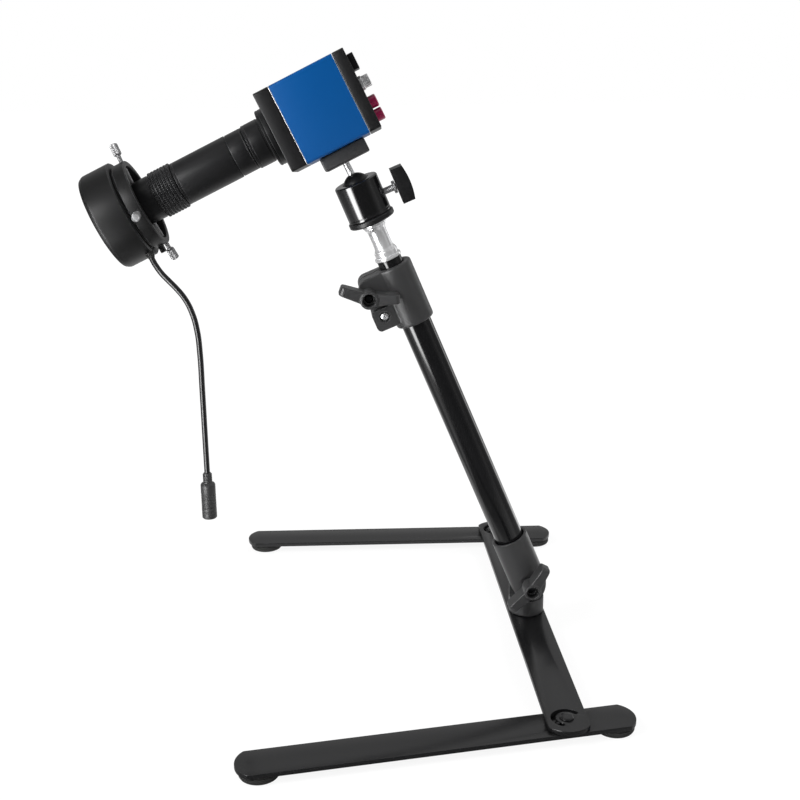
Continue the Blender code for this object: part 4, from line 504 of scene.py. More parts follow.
def outward(made):
    """Point all faces outwards."""
    choose(made)
    bpy.ops.object.mode_set(mode="EDIT")
    bpy.ops.mesh.select_all(action="SELECT")
    bpy.ops.mesh.normals_make_consistent(inside=False)
    leave_edit()
    return made


def apply_modifier(made, kind, **settings):
    """Add one modifier with its settings and apply it."""
    choose(made)
    step = made.modifiers.new(kind.title(), kind)
    for name, value in settings.items():
        setattr(step, name, value)
    bpy.ops.object.modifier_apply(modifier=step.name)
    return made


def round_edges(made, width, segments=2, angle=30.0, clamp=True):
    """Round the edges that are sharper than the angle. The width is in millimetres."""
    apply_modifier(
        made,
        "BEVEL",
        width=width * MM,
        segments=segments,
        limit_method="ANGLE",
        angle_limit=math.radians(angle),
        use_clamp_overlap=clamp,
    )
    return smooth(made)


def soften(made, voxel, passes):
    """Remesh a solid evenly and relax it, so that all its edges get a moulded radius."""
    apply_modifier(made, "REMESH", mode="VOXEL", voxel_size=voxel * MM)
    apply_modifier(made, "SMOOTH", factor=0.5, iterations=passes)
    choose(made)
    bpy.ops.object.shade_smooth()
    return made


def carve(target, tool, operation="DIFFERENCE"):
    """Cut, join or intersect a piece with a tool, which is used up."""
    apply_modifier(target, "BOOLEAN", operation=operation, solver="EXACT", object=tool)
    bpy.data.objects.remove(tool, do_unlink=True)
    return target


def copy_of(made, name):
    """A copy with a mesh of its own."""
    twin = made.copy()
    twin.data = made.data.copy()
    twin.name = name
    bpy.context.scene.collection.objects.link(twin)
    return twin


def joined(name, pieces):
    """Several meshes as one object."""
    start_clean()
    for one in pieces:
        one.select_set(True)
    bpy.context.view_layer.objects.active = pieces[0]
    bpy.ops.object.join()
    pieces[0].name = name
    return pieces[0]


# %% [markdown]
# ### Shapes to start from
#
# Most of this object came off a lathe. Such a part is drawn as half a section: one point is
# extruded along the outline, and the line is spun about Z. The corners of the outline are
# eased before that, which gives every rim the small radius that catches light. Boxes, rods and
# plates with a round end are the other starts.


# %% Turned parts
def eased(outline, radius, steps=3):
    """Ease the corners of an outline. The ends on the axis stay where they are."""
    ring = outline[0][0] > 0.0 or outline[-1][0] > 0.0
    count = len(outline)
    result = []
    for index, (x, z) in enumerate(outline):
        here = Vector((x, z))
        if not ring and index in (0, count - 1):
            result.append((x, z))
            continue
        before = Vector(outline[index - 1]) - here
        after = Vector(outline[(index + 1) % count]) - here
        corner = before.angle(after)
        if corner > math.radians(165.0):
            result.append((x, z))
            continue
        cut = min(radius / math.tan(corner / 2), 0.45 * before.length, 0.45 * after.length)
        first = here + before.normalized() * cut
        last = here + after.normalized() * cut
        for step in range(steps + 1):
            t = step / steps
            point = first * (1 - t) ** 2 + here * 2 * t * (1 - t) + last * t**2
            result.append((point.x, point.y))
    return result


def turned(name, outline, ease=0.15, steps=96):
    """Extrude one point along half a section, then spin the line about Z."""
    start_clean()
    if ease:
        outline = eased(outline, ease)
    if outline[0][0] > 0.0 or outline[-1][0] > 0.0:
        outline = [*outline, outline[0]]
    bpy.ops.mesh.primitive_plane_add(size=MM)
    made = bpy.context.active_object
    made.name = name
    bpy.ops.object.mode_set(mode="EDIT")
    bpy.ops.mesh.select_all(action="SELECT")
    bpy.ops.mesh.merge(type="CENTER")
    bpy.ops.transform.translate(value=(outline[0][0] * MM, 0.0, outline[0][1] * MM))
    for before, after in zip(outline, outline[1:]):
        step = ((after[0] - before[0]) * MM, 0.0, (after[1] - before[1]) * MM)
        bpy.ops.mesh.extrude_region_move(TRANSFORM_OT_translate={"value": step})
    bpy.ops.mesh.select_all(action="SELECT")
    bpy.ops.mesh.remove_doubles(threshold=0.001 * MM)
    bpy.ops.mesh.spin(steps=steps, angle=math.tau, center=(0, 0, 0), axis=(0, 0, 1))
    bpy.ops.mesh.select_all(action="SELECT")
    bpy.ops.mesh.remove_doubles(threshold=0.001 * MM)
    bpy.ops.mesh.normals_make_consistent(inside=False)
    leave_edit()
    return smooth(made)


# %% Rods, boxes and round-ended plates
def rod(name, diameter, low, high, steps=64):
    """A cylinder on Z."""
    start_clean()
    bpy.ops.mesh.primitive_cylinder_add(
        vertices=steps,
        radius=diameter / 2 * MM,
        depth=(high - low) * MM,
        location=(0.0, 0.0, (low + high) / 2 * MM),
    )
    made = bpy.context.active_object
    made.name = name
    bpy.ops.object.transform_apply(location=True, rotation=True, scale=True)
    return made


def boxed(name, size, place=(0.0, 0.0, 0.0)):
    """A box of a size round a place."""
    start_clean()
    bpy.ops.mesh.primitive_cube_add(size=1.0)
    made = bpy.context.active_object
    made.name = name
    stretch = Matrix.Diagonal((*(value * MM for value in size), 1.0))
    made.matrix_world = shift(*(value * MM for value in place)) @ stretch
    bpy.ops.object.transform_apply(location=True, rotation=True, scale=True)
    return made


def round_ended(name, radius, reach, thickness, width=None):
    """A plate in XY with a round end about the origin and a straight run to -Y, open for more."""
    made = rod(name, 2 * radius, -thickness / 2, thickness / 2, 128)
    bpy.ops.object.mode_set(mode="EDIT")
    cuts = [((0.0, 0.0, 0.0), (0.0, -1.0, 0.0))]
    if width:
        cuts += [((side * width / 2 * MM, 0.0, 0.0), (side, 0.0, 0.0)) for side in (-1, 1)]
    for place, normal in reversed(cuts):
        bpy.ops.mesh.select_all(action="SELECT")
        bpy.ops.mesh.bisect(plane_co=place, plane_no=normal, use_fill=True, clear_outer=True)
    bpy.ops.mesh.extrude_region_move(TRANSFORM_OT_translate={"value": (0.0, -reach * MM, 0.0)})
    return made


def fit_out(made, body, slot, *nodes, look=None):
    """Give a piece its finish, let it ride on its body and stand for CAD nodes."""
    made.data.materials.clear()
    made.data.materials.append(FINISHES[look or slot])
    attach(made, body)
    if nodes:
        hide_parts(*nodes)
    print(f"{made.name}: {len(made.data.polygons)} faces on {body}")
    return made


def lathe(name, outline, ease, steps, frame_of, body, slot, *nodes, look=None):
    """Turn a piece, set it in its frame and fit it out."""
    made = seat(turned(name, outline, ease, steps), frame_of)
    return fit_out(made, body, slot, *nodes, look=look)


# %% [markdown]
# ## The folding base
#
# Three flat steel bars of one section carry everything: a crossbar, and a leg that turns
# under each of its ends. A bar could be a long box with rounded corners, but the real end is
# a wide arc that meets the sides at a corner. So each half is a disc that is cut to the bar's
# width, cut across and extruded from the cut, and the other half is its mirror image.

# %% Flat bars
BAR_WIDTH = 25.0
BAR_THICKNESS = 3.0
BAR_END_RADIUS = 15.3
BAR_EDGE = 0.35
CROSSBAR_MIDDLE = 10.3
LEG_MIDDLE = 7.0
LEG_CENTRE = -77.0
LEG_REACH = 104.7
SLOT_RADIUS = 8.0
SLOT_WIDTH = 3.0
SLOT_ENDS = (37.5, 240.0)
STOP_PIN_AT = 212.0
RIVET_HOLE = 4.6
PILLAR_SCREW_REACH = 6.5
SINK_OUTLINE = [(0, 4), (2.3, 4), (2.3, 0.55), (4.05, -1.5), (4.05, -3), (0, -3)]


def flat_bar(name, reach):
    """A bar along Y; its end arcs have their centres at plus and minus the reach."""
    made = round_ended(name, BAR_END_RADIUS, reach, BAR_THICKNESS, BAR_WIDTH)
    bpy.ops.mesh.delete(type="ONLY_FACE")
    leave_edit()
    seat(made, shift(y=reach * MM))
    apply_modifier(made, "MIRROR", use_axis=(False, True, False), merge_threshold=0.01 * MM)
    return outward(made)


def bent_slot(radius, width, start, end, depth):
    """Three tools for a slot that is bent round Z: its arc and its two round ends."""
    made = boxed("slot_tool", (width, 0.001, depth), (radius, 0.0, 0.0))
    bpy.ops.object.mode_set(mode="EDIT")
    bpy.ops.mesh.select_all(action="SELECT")
    bpy.ops.mesh.remove_doubles(threshold=0.001 * MM)
    bpy.ops.mesh.select_all(action="SELECT")
    bpy.ops.mesh.delete(type="ONLY_FACE")
    bpy.ops.mesh.select_all(action="SELECT")
    bpy.ops.mesh.edge_face_add()
    sweep = math.radians(end - start)
    bpy.ops.mesh.spin(steps=48, angle=-sweep, center=(0, 0, 0), axis=(0, 0, 1))
    leave_edit()
    tools = [seat(outward(made), turn(start, "Z"))]
    for angle in (start, end):
        tip = rod("slot_end", width, -depth / 2, depth / 2, 32)
        tools.append(seat(tip, turn(angle, "Z") @ shift(x=radius * MM)))
    return tools


crossbar = flat_bar("crossbar_bar", PIVOT_REACH / MM)
for side in (-1, 1):
    for tool in bent_slot(SLOT_RADIUS, SLOT_WIDTH, *SLOT_ENDS, 8.0):
        carve(crossbar, seat(tool, shift(y=side * PIVOT_REACH)))
    carve(crossbar, seat(rod("rivet_hole", RIVET_HOLE, -4, 4), shift(y=side * PIVOT_REACH)))
    sink = turned("sink_tool", SINK_OUTLINE, 0)
    carve(crossbar, seat(sink, shift(y=side * PILLAR_SCREW_REACH * MM)))
apply_modifier(crossbar, "WELD", merge_threshold=0.02 * MM)
round_edges(crossbar, BAR_EDGE, clamp=False)
seat(crossbar, STAND @ shift(z=CROSSBAR_MIDDLE * MM))
fit_out(crossbar, "base", "powder_black", "crossbar")

STOP_PIN = turn(STOP_PIN_AT, "Z") @ shift(x=SLOT_RADIUS * MM)
for name, frame_of_leg in LEGS.items():
    leg = flat_bar(f"{name}_bar", LEG_REACH)
    seat(leg, shift(x=LEG_CENTRE * MM, z=LEG_MIDDLE * MM) @ turn(90, "Z"))
    carve(leg, rod("rivet_hole", RIVET_HOLE, 4, 10))
    carve(leg, seat(rod("pin_hole", SLOT_WIDTH, 4, 10), STOP_PIN))
    round_edges(leg, BAR_EDGE, clamp=False)
    fit_out(seat(leg, frame_of_leg), name, "powder_black", name)

# %% [markdown]
# ### Rivets, stop pins and feet
#
# A domed rivet joins each leg to the crossbar, and a pin in the leg rides in the bent slot
# and stops the leg at both ends of its swing. The rubber feet are discs with a step under the
# bar and a rounded tread. All of them are turned.

# %% Rivets, pins, feet and the screws under the pillar
for name, frame_of_leg in LEGS.items():
    dome = [
        (4.4 * math.sin(math.radians(a)), 12.1 + 1.6 * math.cos(math.radians(a)))
        for a in range(0, 90, 10)
    ]
    lathe(f"{name}_rivet_head", [
        *dome, (4.4, 12.3), (4.4, 12.1), (2.0, 12.1), (2.0, 5.2), (4.2, 5.2), (3.7, 4.3), (0, 4.2),
    ], 0.12, 96, frame_of_leg, "base", "powder_black", f"{name}_rivet")
    # The pins take the near-black steel that stands for painted shade.
    lathe(f"{name}_pin", [
        (0, 11.8), (0.9, 11.8), (1.2, 11.4), (1.2, 5.2), (2.2, 5.2), (2.2, 4.3), (0, 4.2),
    ], 0.12, 48, frame_of_leg @ STOP_PIN, name, "plated_steel", f"{name}_stop_pin", look="oxide_steel")

FOOT_OUTLINE = [
    (0, 5.2), (11.2, 5.2), (11.3, 4.1), (12.0, 3.9), (12.0, 1.6), (11.5, 0.6), (10.3, 0.05),
    (8.6, 0.0), (8.2, 0.7), (0, 0.7),
]
FOOT_PLACES = {"left": -183.0, "right": 30.5}
for name, frame_of_leg in LEGS.items():
    for end, along in FOOT_PLACES.items():
        foot = turned(f"{name}_{end}_pad", FOOT_OUTLINE, 0.4)
        seat(foot, frame_of_leg @ shift(x=along * MM))
        fit_out(foot, name, "rubber_black", f"{name}_{end}_foot")


def cross_recess(made, top, width=2.8, depth=1.6):
    """Cut a tapering cross for a screwdriver into the end of a screw that faces +Z."""
    for angle in (0, 90):
        blade = boxed("cross_tool", (width, 0.75, 2 * depth), (0, 0, top))
        pick(blade, "FACE", lambda place: place.z < top - depth + 0.01)
        bpy.ops.transform.resize(value=(0.45, 0.6, 1.0))
        leave_edit()
        carve(made, seat(blade, turn(angle, "Z")))
    return smooth(made)


for end, side in (("near", -1), ("far", 1)):
    screw = turned(f"pillar_{end}_screw", [
        (0, -9.5), (1.7, -9.5), (2.0, -9.0), (2.0, -1.75), (3.75, 0.0), (0, 0.0),
    ], 0.08, steps=64)
    cross_recess(screw, 0.0, 4.0, 1.5)
    seat(screw, STAND @ shift(y=side * PILLAR_SCREW_REACH * MM, z=8.8 * MM) @ turn(180, "X"))
    fit_out(screw, "base", "plated_steel", f"pillar_screw_{end}")

# %% [markdown]
# ## The tilting knuckle
#
# Post and socket are halves of a lap joint: each is a round bar that is rounded about the
# hinge, and cut away beside the other. Both are moulded, so the cuts are made first on clean
# shapes, then an even remesh and a little smoothing give all the edges one soft radius.

# %% The post and the socket
KNUCKLE_ROUND = 12.8
SHOULDER = 13.2
CROSS_BORE = 5.6
FINE_VOXEL = 0.34
MOULD_PASSES = 3


def lapped(name, diameter, low, high, up):
    """A round bar, rounded at the hinge end; the round end looks up (1) or down (-1)."""
    made = rod(name, diameter, low, high, 160)
    tool = round_ended("lap_tool", KNUCKLE_ROUND, 80.0, 60.0)
    leave_edit()
    return carve(made, seat(tool, turn(90 * up, "X")), "INTERSECT")


pillar = lapped("knuckle_post", 24.0, -24.4, 19.2, 1)
carve(pillar, boxed("notch_tool", (60, 24, 40), (0, -11.85, 20 - SHOULDER)))
carve(pillar, seat(rod("spot_tool", 11.2, 11.1, 24), turn(-90, "X")))
carve(pillar, seat(rod("bore_tool", CROSS_BORE, -24, 24), turn(90, "X")))
soften(pillar, FINE_VOXEL, MOULD_PASSES)
fit_out(seat(pillar, HINGE), "base", "moulded_black", "knuckle_pillar")

socket = lapped("tube_socket", 24.8, -19.2, 33.7, -1)
carve(socket, boxed("notch_tool", (60, 24, 40), (0, 11.85, SHOULDER - 20)))
MOUTH_OUTLINE = [(0, 36), (10.9, 36), (10.6, 33.7), (10.0, 32.5), (10.0, 15.5), (0, 15.5)]
mouth = turned("mouth_tool", MOUTH_OUTLINE, 0)
carve(socket, mouth)
carve(socket, seat(rod("spot_tool", 12.8, 11.5, 24), turn(90, "X")))
carve(socket, seat(rod("bore_tool", CROSS_BORE, -24, 24), turn(90, "X")))
soften(socket, FINE_VOXEL, MOULD_PASSES)
fit_out(seat(socket, POLE), "pole", "moulded_black", "tilt_socket")

# %% [markdown]
# ### Bolts and wing knobs
#
# A cross bolt holds the knuckle, and another one closes the collar. Each has a round head
# with a hexagon socket, and a wing knob on its other end. A wing is a box that is drawn in at
# the tip and rounded at its outer corners. Two of them join the hub, swept into a V.

# %% Bolts with a hexagon socket
def socket_bolt(name, seat_at, head_height, tip):
    """A bolt along Z with its head at the top. Fine rings stand for the thread's end."""
    ridges = []
    for step in range(6):
        low = -tip + 0.6 + step * 0.8
        ridges += [(2.5, low + 0.55), (2.2, low + 0.15)]
    top = seat_at + head_height
    outline = [
        (0, top), (3.6, top), (4.7, top - 0.7), (5.0, top - 1.4), (5.0, seat_at), (2.5, seat_at),
    ]
    outline += sorted(ridges, key=lambda point: -point[1])
    outline += [(1.9, -tip), (0, -tip)]
    made = turned(name, outline, 0.06, steps=64)
    carve(made, rod("key_tool", 5.8, top - 1.6, seat_at + 2 * head_height, 6))
    return smooth(made)


tilt_bolt = socket_bolt("knuckle_bolt", 11.4, 2.6, 19.7)
seat(tilt_bolt, HINGE @ turn(-90, "X"))
# The bolt end takes the near-black steel: painted shade in the knob's eye.
fit_out(tilt_bolt, "base", "plated_steel", "tilt_bolt", look="oxide_steel")

# %% Wing knobs
HUB_DIAMETER = 11.6
HUB_LENGTH = 13.7
WING_RADIUS = 19.2
WING_SWEEP = 79.5
EYE_OUTLINE = [
    (0, 20), (5.2, 20), (4.5, 13.9), (4.0, 13.2), (4.0, 7.2), (2.8, 7.2), (2.8, -2), (0, -2),
]
TILT_KNOB_AT = -11.8
TILT_KNOB_TURN = 141
CLAMP_KNOB_AT = -10.3
CLAMP_KNOB_TURN = 58


def wing_knob(name):
    """A knob about Z with its seat at the origin and its wings towards +X and -X."""
    radius = HUB_DIAMETER / 2
    hub = turned(name, [
        (0, HUB_LENGTH), (radius * 0.9, HUB_LENGTH), (radius, 12.6), (radius, 3.4),
        (radius * 0.86, 0), (0, 0),
    ], 0.5)
    for side in (-1, 1):
        wing = boxed("wing", (WING_RADIUS - 1.7, 8.0, 11.1), (WING_RADIUS / 2 + 0.85, 0, 8.3))
        pick(wing, "FACE", lambda place: place.x > WING_RADIUS - 0.1)
        bpy.ops.transform.resize(value=(1.0, 0.73, 1.0))
        leave_edit()
        pick(wing, "VERT", lambda place: place.z > 10 and place.x < 10)
        bpy.ops.transform.translate(value=(0, 0, -1.3 * MM))
        leave_edit()
        pick(wing, "EDGE", lambda place: place.x > WING_RADIUS - 0.1 and abs(place.y) < 0.1)
        bpy.ops.mesh.bevel(offset=3.0 * MM, segments=8, affect="EDGES")
        leave_edit()
        round_edges(wing, 0.8, 3, 50.0)
        carve(hub, seat(wing, turn(side * WING_SWEEP, "Z")), "UNION")
    soften(hub, FINE_VOXEL, MOULD_PASSES)
    carve(hub, turned("eye_tool", EYE_OUTLINE, 0))
    return smooth(hub, 40.0)


tilt_knob = wing_knob("tilt_wing_knob")
clamp_knob = copy_of(tilt_knob, "clamp_wing_knob")
knob_seat = STAND @ shift(y=TILT_KNOB_AT * MM, z=HINGE_HEIGHT) @ turn(90, "X")
seat(tilt_knob, knob_seat @ turn(TILT_KNOB_TURN, "Z"))
fit_out(tilt_knob, "tilt_knob", "moulded_black", "tilt_knob")

# %% [markdown]
# ## The telescopic pole
#
# The outer tube stands in the socket, and the inner tube slides in it. Both are drawn tubes,
# turned here with a wall and a small chamfer on the rims.

# %% The tubes
lathe("outer_pole_tube", [
    (9.7, 221.5), (9.7, 15.8), (8.5, 15.8), (8.5, 221.5),
], 0.25, 128, POLE, "pole", "tube_black", "outer_tube")
lathe("inner_pole_tube", [
    (7.9, 244.3), (7.9, 60.0), (6.8, 60.0), (6.8, 244.3),
], 0.3, 128, POLE, "extension", "tube_black", "inner_tube")

# %% [markdown]
# ### The split collar
#
# The collar joins the tubes. Its lower ears are pulled together by a small screw and grip the
# outer tube, and its upper ears are pulled together by the wing knob and clamp the inner one.
# The outside is joined and remeshed first, so that the ears run into the barrel with a
# fillet. The bores, the slit and the holes are cut after that, and stay crisp.

# %% The collar
COLLAR_LOW = 200.0
COLLAR_HIGH = 240.0
CLAMP_BOLT_PLACE = (-21.2, 0.0, 229.5)
FIXING_SCREW_PLACE = (-17.0, 0.0, 212.3)


def placed(x, y, z):
    return shift(x * MM, y * MM, z * MM)


def ear(low, high, reach, corner, thickness):
    """An ear of the collar: a box with its two outer corners rounded."""
    made = boxed("ear_tool", (reach, thickness, high - low), (-reach / 2, 0, (low + high) / 2))
    pick(made, "EDGE", lambda place: place.x < 0.1 - reach and abs(place.y) < 0.1)
    bpy.ops.mesh.bevel(offset=corner * MM, segments=12, affect="EDGES")
    leave_edit()
    return made


collar = turned("pole_collar", [
    (0, COLLAR_HIGH), (12.5, COLLAR_HIGH), (12.5, COLLAR_LOW), (0, COLLAR_LOW),
], 1.3)
carve(collar, ear(219.7, 239.7, 24.9, 6.0, 20.0), "UNION")
carve(collar, ear(204.0, 218.3, 24.3, 3.0, 18.0), "UNION")
soften(collar, 0.45, 5)
bore = turned("bore_tool", [
    (0, 250), (9.0, 250), (9.0, 240), (8.2, 239.2), (8.2, 221.8), (10.0, 221.8), (10.0, 200.5),
    (10.5, 200), (10.5, 190), (0, 190),
], 0, steps=128)
carve(collar, bore)
carve(collar, boxed("slit_tool", (50, 1.8, 80), (-28.95, 0, 220)))
carve(collar, seat(rod("bolt_tool", CROSS_BORE, -20, 20), placed(*CLAMP_BOLT_PLACE) @ turn(90, "X")))
recess = turned("recess_tool", [
    (0, 18), (3.9, 18), (3.7, 9), (3.3, 8.6), (3.3, 6.2), (1.8, 6.2), (1.8, -18), (0, -18),
], 0)
carve(collar, seat(recess, placed(*FIXING_SCREW_PLACE) @ turn(90, "X")))
smooth(collar, 40.0)
fit_out(seat(collar, POLE), "pole", "moulded_black", "clamp_collar")

# %% The collar's bolt, screw and nut
clamp_bolt = socket_bolt("collar_bolt", 10.3, 2.6, 18.2)
seat(clamp_bolt, POLE @ placed(*CLAMP_BOLT_PLACE) @ turn(-90, "X"))
# The bolt end takes the near-black steel: painted shade in the knob's eye.
fit_out(clamp_bolt, "pole", "plated_steel", "clamp_bolt", look="oxide_steel")
CLAMP_KNOB_PLACE = (CLAMP_BOLT_PLACE[0], CLAMP_KNOB_AT, CLAMP_BOLT_PLACE[2])
seat(clamp_knob, POLE @ placed(*CLAMP_KNOB_PLACE) @ turn(90, "X") @ turn(CLAMP_KNOB_TURN, "Z"))
fit_out(clamp_knob, "clamp_knob", "moulded_black", "clamp_knob")

fixing_screw = turned("collar_screw", [
    (0, 8.35), (1.2, 8.25), (2.2, 7.8), (2.65, 7.1), (2.65, 6.5), (1.5, 6.5), (1.5, -11.2),
    (1.2, -11.5), (0, -11.5),
], 0.1, steps=64)
cross_recess(fixing_screw, 8.3, 2.9, 1.3)
seat(fixing_screw, POLE @ placed(*FIXING_SCREW_PLACE) @ turn(90, "X"))
fit_out(fixing_screw, "pole", "polished_steel", "fixing_screw")

nut = rod("collar_nut", 6.35, 9.3, 11.5, 6)
carve(nut, rod("thread_tool", 3.6, 5, 15))
NUT_OUTLINE = [(0, 11.7), (2.7, 11.7), (3.4, 11.2), (3.4, 9.6), (2.7, 9.1), (0, 9.1)]
nut_form = turned("nut_tool", NUT_OUTLINE, 0)
carve(nut, nut_form, "INTERSECT")
round_edges(nut, 0.06, 2, 35.0)
seat(nut, POLE @ placed(*FIXING_SCREW_PLACE) @ turn(-90, "X"))
fit_out(nut, "pole", "plated_steel", "fixing_nut")

# %% [markdown]
# ### The steel spigot
#
# A bright turned spigot plugs into the inner tube and carries the ball head on a stud. Its
# flange, bead, waist and crown are one outline, and their curves are what makes the bands of
# light and dark in polished steel.

# %% The spigot
lathe("steel_spigot", [
    (0, 275.8), (2.6, 275.8), (3.0, 275.3), (3.0, 269.8), (7.4, 269.8), (7.65, 269.5),
    (7.65, 267.5), (7.4, 267.1), (7.0, 266.8), (7.0, 266.3), (6.5, 265.4), (6.05, 264.4),
    (5.88, 263.2), (5.82, 260.0), (5.82, 256.0), (5.9, 253.2), (6.15, 252.0), (6.7, 251.1),
    (7.1, 250.7), (7.1, 250.3), (7.45, 249.8), (7.45, 247.4), (7.1, 246.8), (8.3, 246.5),
    (8.6, 246.2), (8.6, 244.9), (8.3, 244.6), (6.5, 244.6), (6.5, 233.2), (6.1, 232.6), (0, 232.6),
], 0.12, 128, POLE, "extension", "polished_steel", "spigot")

# %% [markdown]
# ## The ball head
#
# A thin base, a glossy round housing with the ball in its mouth, and a lock screw that pushes
# on the cup from the side. The housing could be a plain cylinder with bevelled rims, but the
# mouth turns in over the ball, so it is drawn as a section with that lip.

# %% The base and the housing
lathe("ball_head_base", [
    (3.3, 273.6), (14.3, 273.6), (14.85, 273.1), (14.85, 270.8), (14.3, 270.1), (3.3, 270.1),
], 0.15, 144, POLE, "turret", "anodised_black", "head_base")

LIP_RADIUS = 9.3
LOCK_STATION = 284.1
lip = [
    (
        LIP_RADIUS * math.cos(math.radians(a)),
        293.1 + LIP_RADIUS * math.sin(math.radians(a)),
    )
    for a in range(0, 26, 5)
]
ball_housing = turned("ball_head_housing", [
    *lip, (8.5, 297.1), (8.8, 297.3), (13.3, 297.3), (13.95, 296.6), (13.95, 276.0),
    (13.6, 275.8), (13.6, 275.4), (13.95, 275.2), (13.95, 274.1), (13.6, 273.9), (9.3, 273.9),
], 0.12, steps=144)
LOCK_ACROSS = placed(0, 0, LOCK_STATION) @ turn(90, "Y")
LOCK = POLE @ LOCK_ACROSS
carve(ball_housing, seat(rod("lock_tool", 4.6, 5, 20), LOCK_ACROSS))
smooth(ball_housing)
fit_out(seat(ball_housing, POLE), "turret", "anodised_black", "ball_housing", look="gloss_black")

# %% [markdown]
# ### The ball, its threaded stem and the lock
#
# The stem is a screw, but its thread is so fine that rings read the same, and rings close up
# where a helix would need its ends capped. The lock knob is a slab with a faintly bulged outer
# side: a box cut by a very wide drum.

# %% The ball and the stem
BALL_RADIUS = 9.0
arc_down = [
    (BALL_RADIUS * math.cos(math.radians(a)), BALL_RADIUS * math.sin(math.radians(a)))
    for a in range(72, -90, -6)
]
lathe("head_ball", [
    (0, 3.0), (2.6, 3.0), (2.6, 8.61), *arc_down, (0, -BALL_RADIUS),
], 0, 96, BALL, "ball", "anodised_black", "ball")


def threaded(radius, low, high, pitch=0.7, depth=0.3):
    """Outline points of a fine thread, from high to low."""
    points = []
    count = int((high - low) / pitch)
    for step in range(count):
        top = high - step * pitch
        points += [(radius - depth, top), (radius, top - 0.35 * pitch), (radius, top - 0.55 * pitch)]
    return points


lathe("ball_stem_screw", [
    (0, 22.5), (1.8, 22.5), *threaded(2.3, 9.6, 22.2), (2.3, 9.4), (2.3, 3.3), (0, 3.3),
], 0.04, 48, BALL, "ball", "polished_steel", "ball_stem")

# %% The lock screw and its knob
lathe("head_lock_screw", [
    (0, 26.6), (2.0, 26.6), (2.0, 21.7), (3.7, 21.7), (4.1, 21.3), (4.1, 20.9), (3.8, 20.8),
    (4.1, 20.6), (4.1, 20.2), (3.7, 19.8), (2.15, 19.8), *threaded(2.15, 14.0, 19.6, 0.8, 0.15),
    (2.0, 13.8), (2.0, 10.3), (1.0, 9.3), (0, 9.3),
], 0.05, 64, LOCK, "lock_knob", "polished_steel", "lock_screw", look="plated_steel")

lock_knob = boxed("head_lock_knob", (22.4, 10.4, 9.2), (0, 0, 26.6))
DRUM_RADIUS = 45.5
KNOB_FACE = 31.2
drum = rod("drum", 2 * DRUM_RADIUS, -20, 20, 512)
seat(drum, placed(0, 0, KNOB_FACE - DRUM_RADIUS) @ turn(90, "X"))
carve(lock_knob, drum, "INTERSECT")
round_edges(lock_knob, 1.0, 4, 25.0)
carve(lock_knob, rod("screw_tool", 4.6, 20, 26.9))
smooth(lock_knob)
fit_out(seat(lock_knob, LOCK), "lock_knob", "moulded_black", "lock_knob", look="anodised_black")

# %% [markdown]
# ## The camera
#
# A square case of three anodised parts: a blue sleeve between two black covers, which screws
# hold from the front and the rear. Each part is a box whose four long edges are bevelled
# first, as the extrusion is made, and whose rims are eased after that.

# %% The three parts of the case
CASE_WIDTH = 51.0
COVER_FRONT = 30.6
COVER_REAR = -29.4
REAR_FITTINGS = -29.7
HOLLOW = (47.0, 47.0, 60.0)
CASE_WELL_OUTLINE = [(0, 1), (2.9, 1), (2.6, 0), (2.4, -0.2), (2.4, -2.4), (0, -2.4)]
BUTTON_WELL_OUTLINE = [
    (0, 5), (5.2, 5), (4.55, 0.1), (4.25, -0.4), (4.25, -5.3), (0, -5.3),
]


def case_part(name, low, high, rim):
    """A length of the square case about the optical axis."""
    made = boxed(name, (CASE_WIDTH, CASE_WIDTH, high - low), (0, 0, (low + high) / 2))
    middle_height = (low + high) / 2
    pick(made, "EDGE", lambda place: abs(place.z - middle_height) < 0.1)
    bpy.ops.mesh.bevel(offset=1.6 * MM, segments=6, affect="EDGES")
    leave_edit()
    return round_edges(made, rim, 3, 50.0, clamp=False)


SCREW_CORNERS = [(x, y) for x in (-21.0, 21.0) for y in (-21.0, 21.0)]


def sunk_screws(cover, face, facing):
    """Drill a well at each corner of a cover, and put a screw in it. The face looks along Z."""
    screws = []
    for x, y in SCREW_CORNERS:
        stand_there = placed(x, y, face) @ (turn(180, "X") if facing < 0 else turn(0, "X"))
        carve(cover, seat(turned("well", CASE_WELL_OUTLINE, 0, 48), stand_there))
        screw = turned("case_screw", [
            (0, -0.6), (1.5, -0.65), (2.0, -0.9), (2.2, -1.3), (2.2, -2.3), (0, -2.3),
        ], 0.1, steps=48)
        cross_recess(screw, -0.6, 2.6, 1.1)
        screws.append(seat(screw, stand_there))
    smooth(cover)
    return screws


front_cover = case_part("front_case_cover", 20.6, COVER_FRONT, 0.5)
carve(front_cover, rod("thread_tool", 26.0, 25.0, 35.0, 96))
front_screws = sunk_screws(front_cover, COVER_FRONT, 1)
fit_out(seat(front_cover, OPTIC), "camera", "anodised_black", "front_cover")

sleeve = case_part("blue_case_sleeve", -21.6, 20.1, 0.2)
carve(sleeve, boxed("hollow_tool", HOLLOW))
smooth(sleeve)
fit_out(seat(sleeve, OPTIC), "camera", "anodised_blue", "camera_shell")

joint_plate = case_part("front_joint_plate", 20.13, 20.58, 0.08)
carve(joint_plate, boxed("hollow_tool", HOLLOW))
smooth(joint_plate)
fit_out(seat(joint_plate, OPTIC), "camera", "polished_steel")

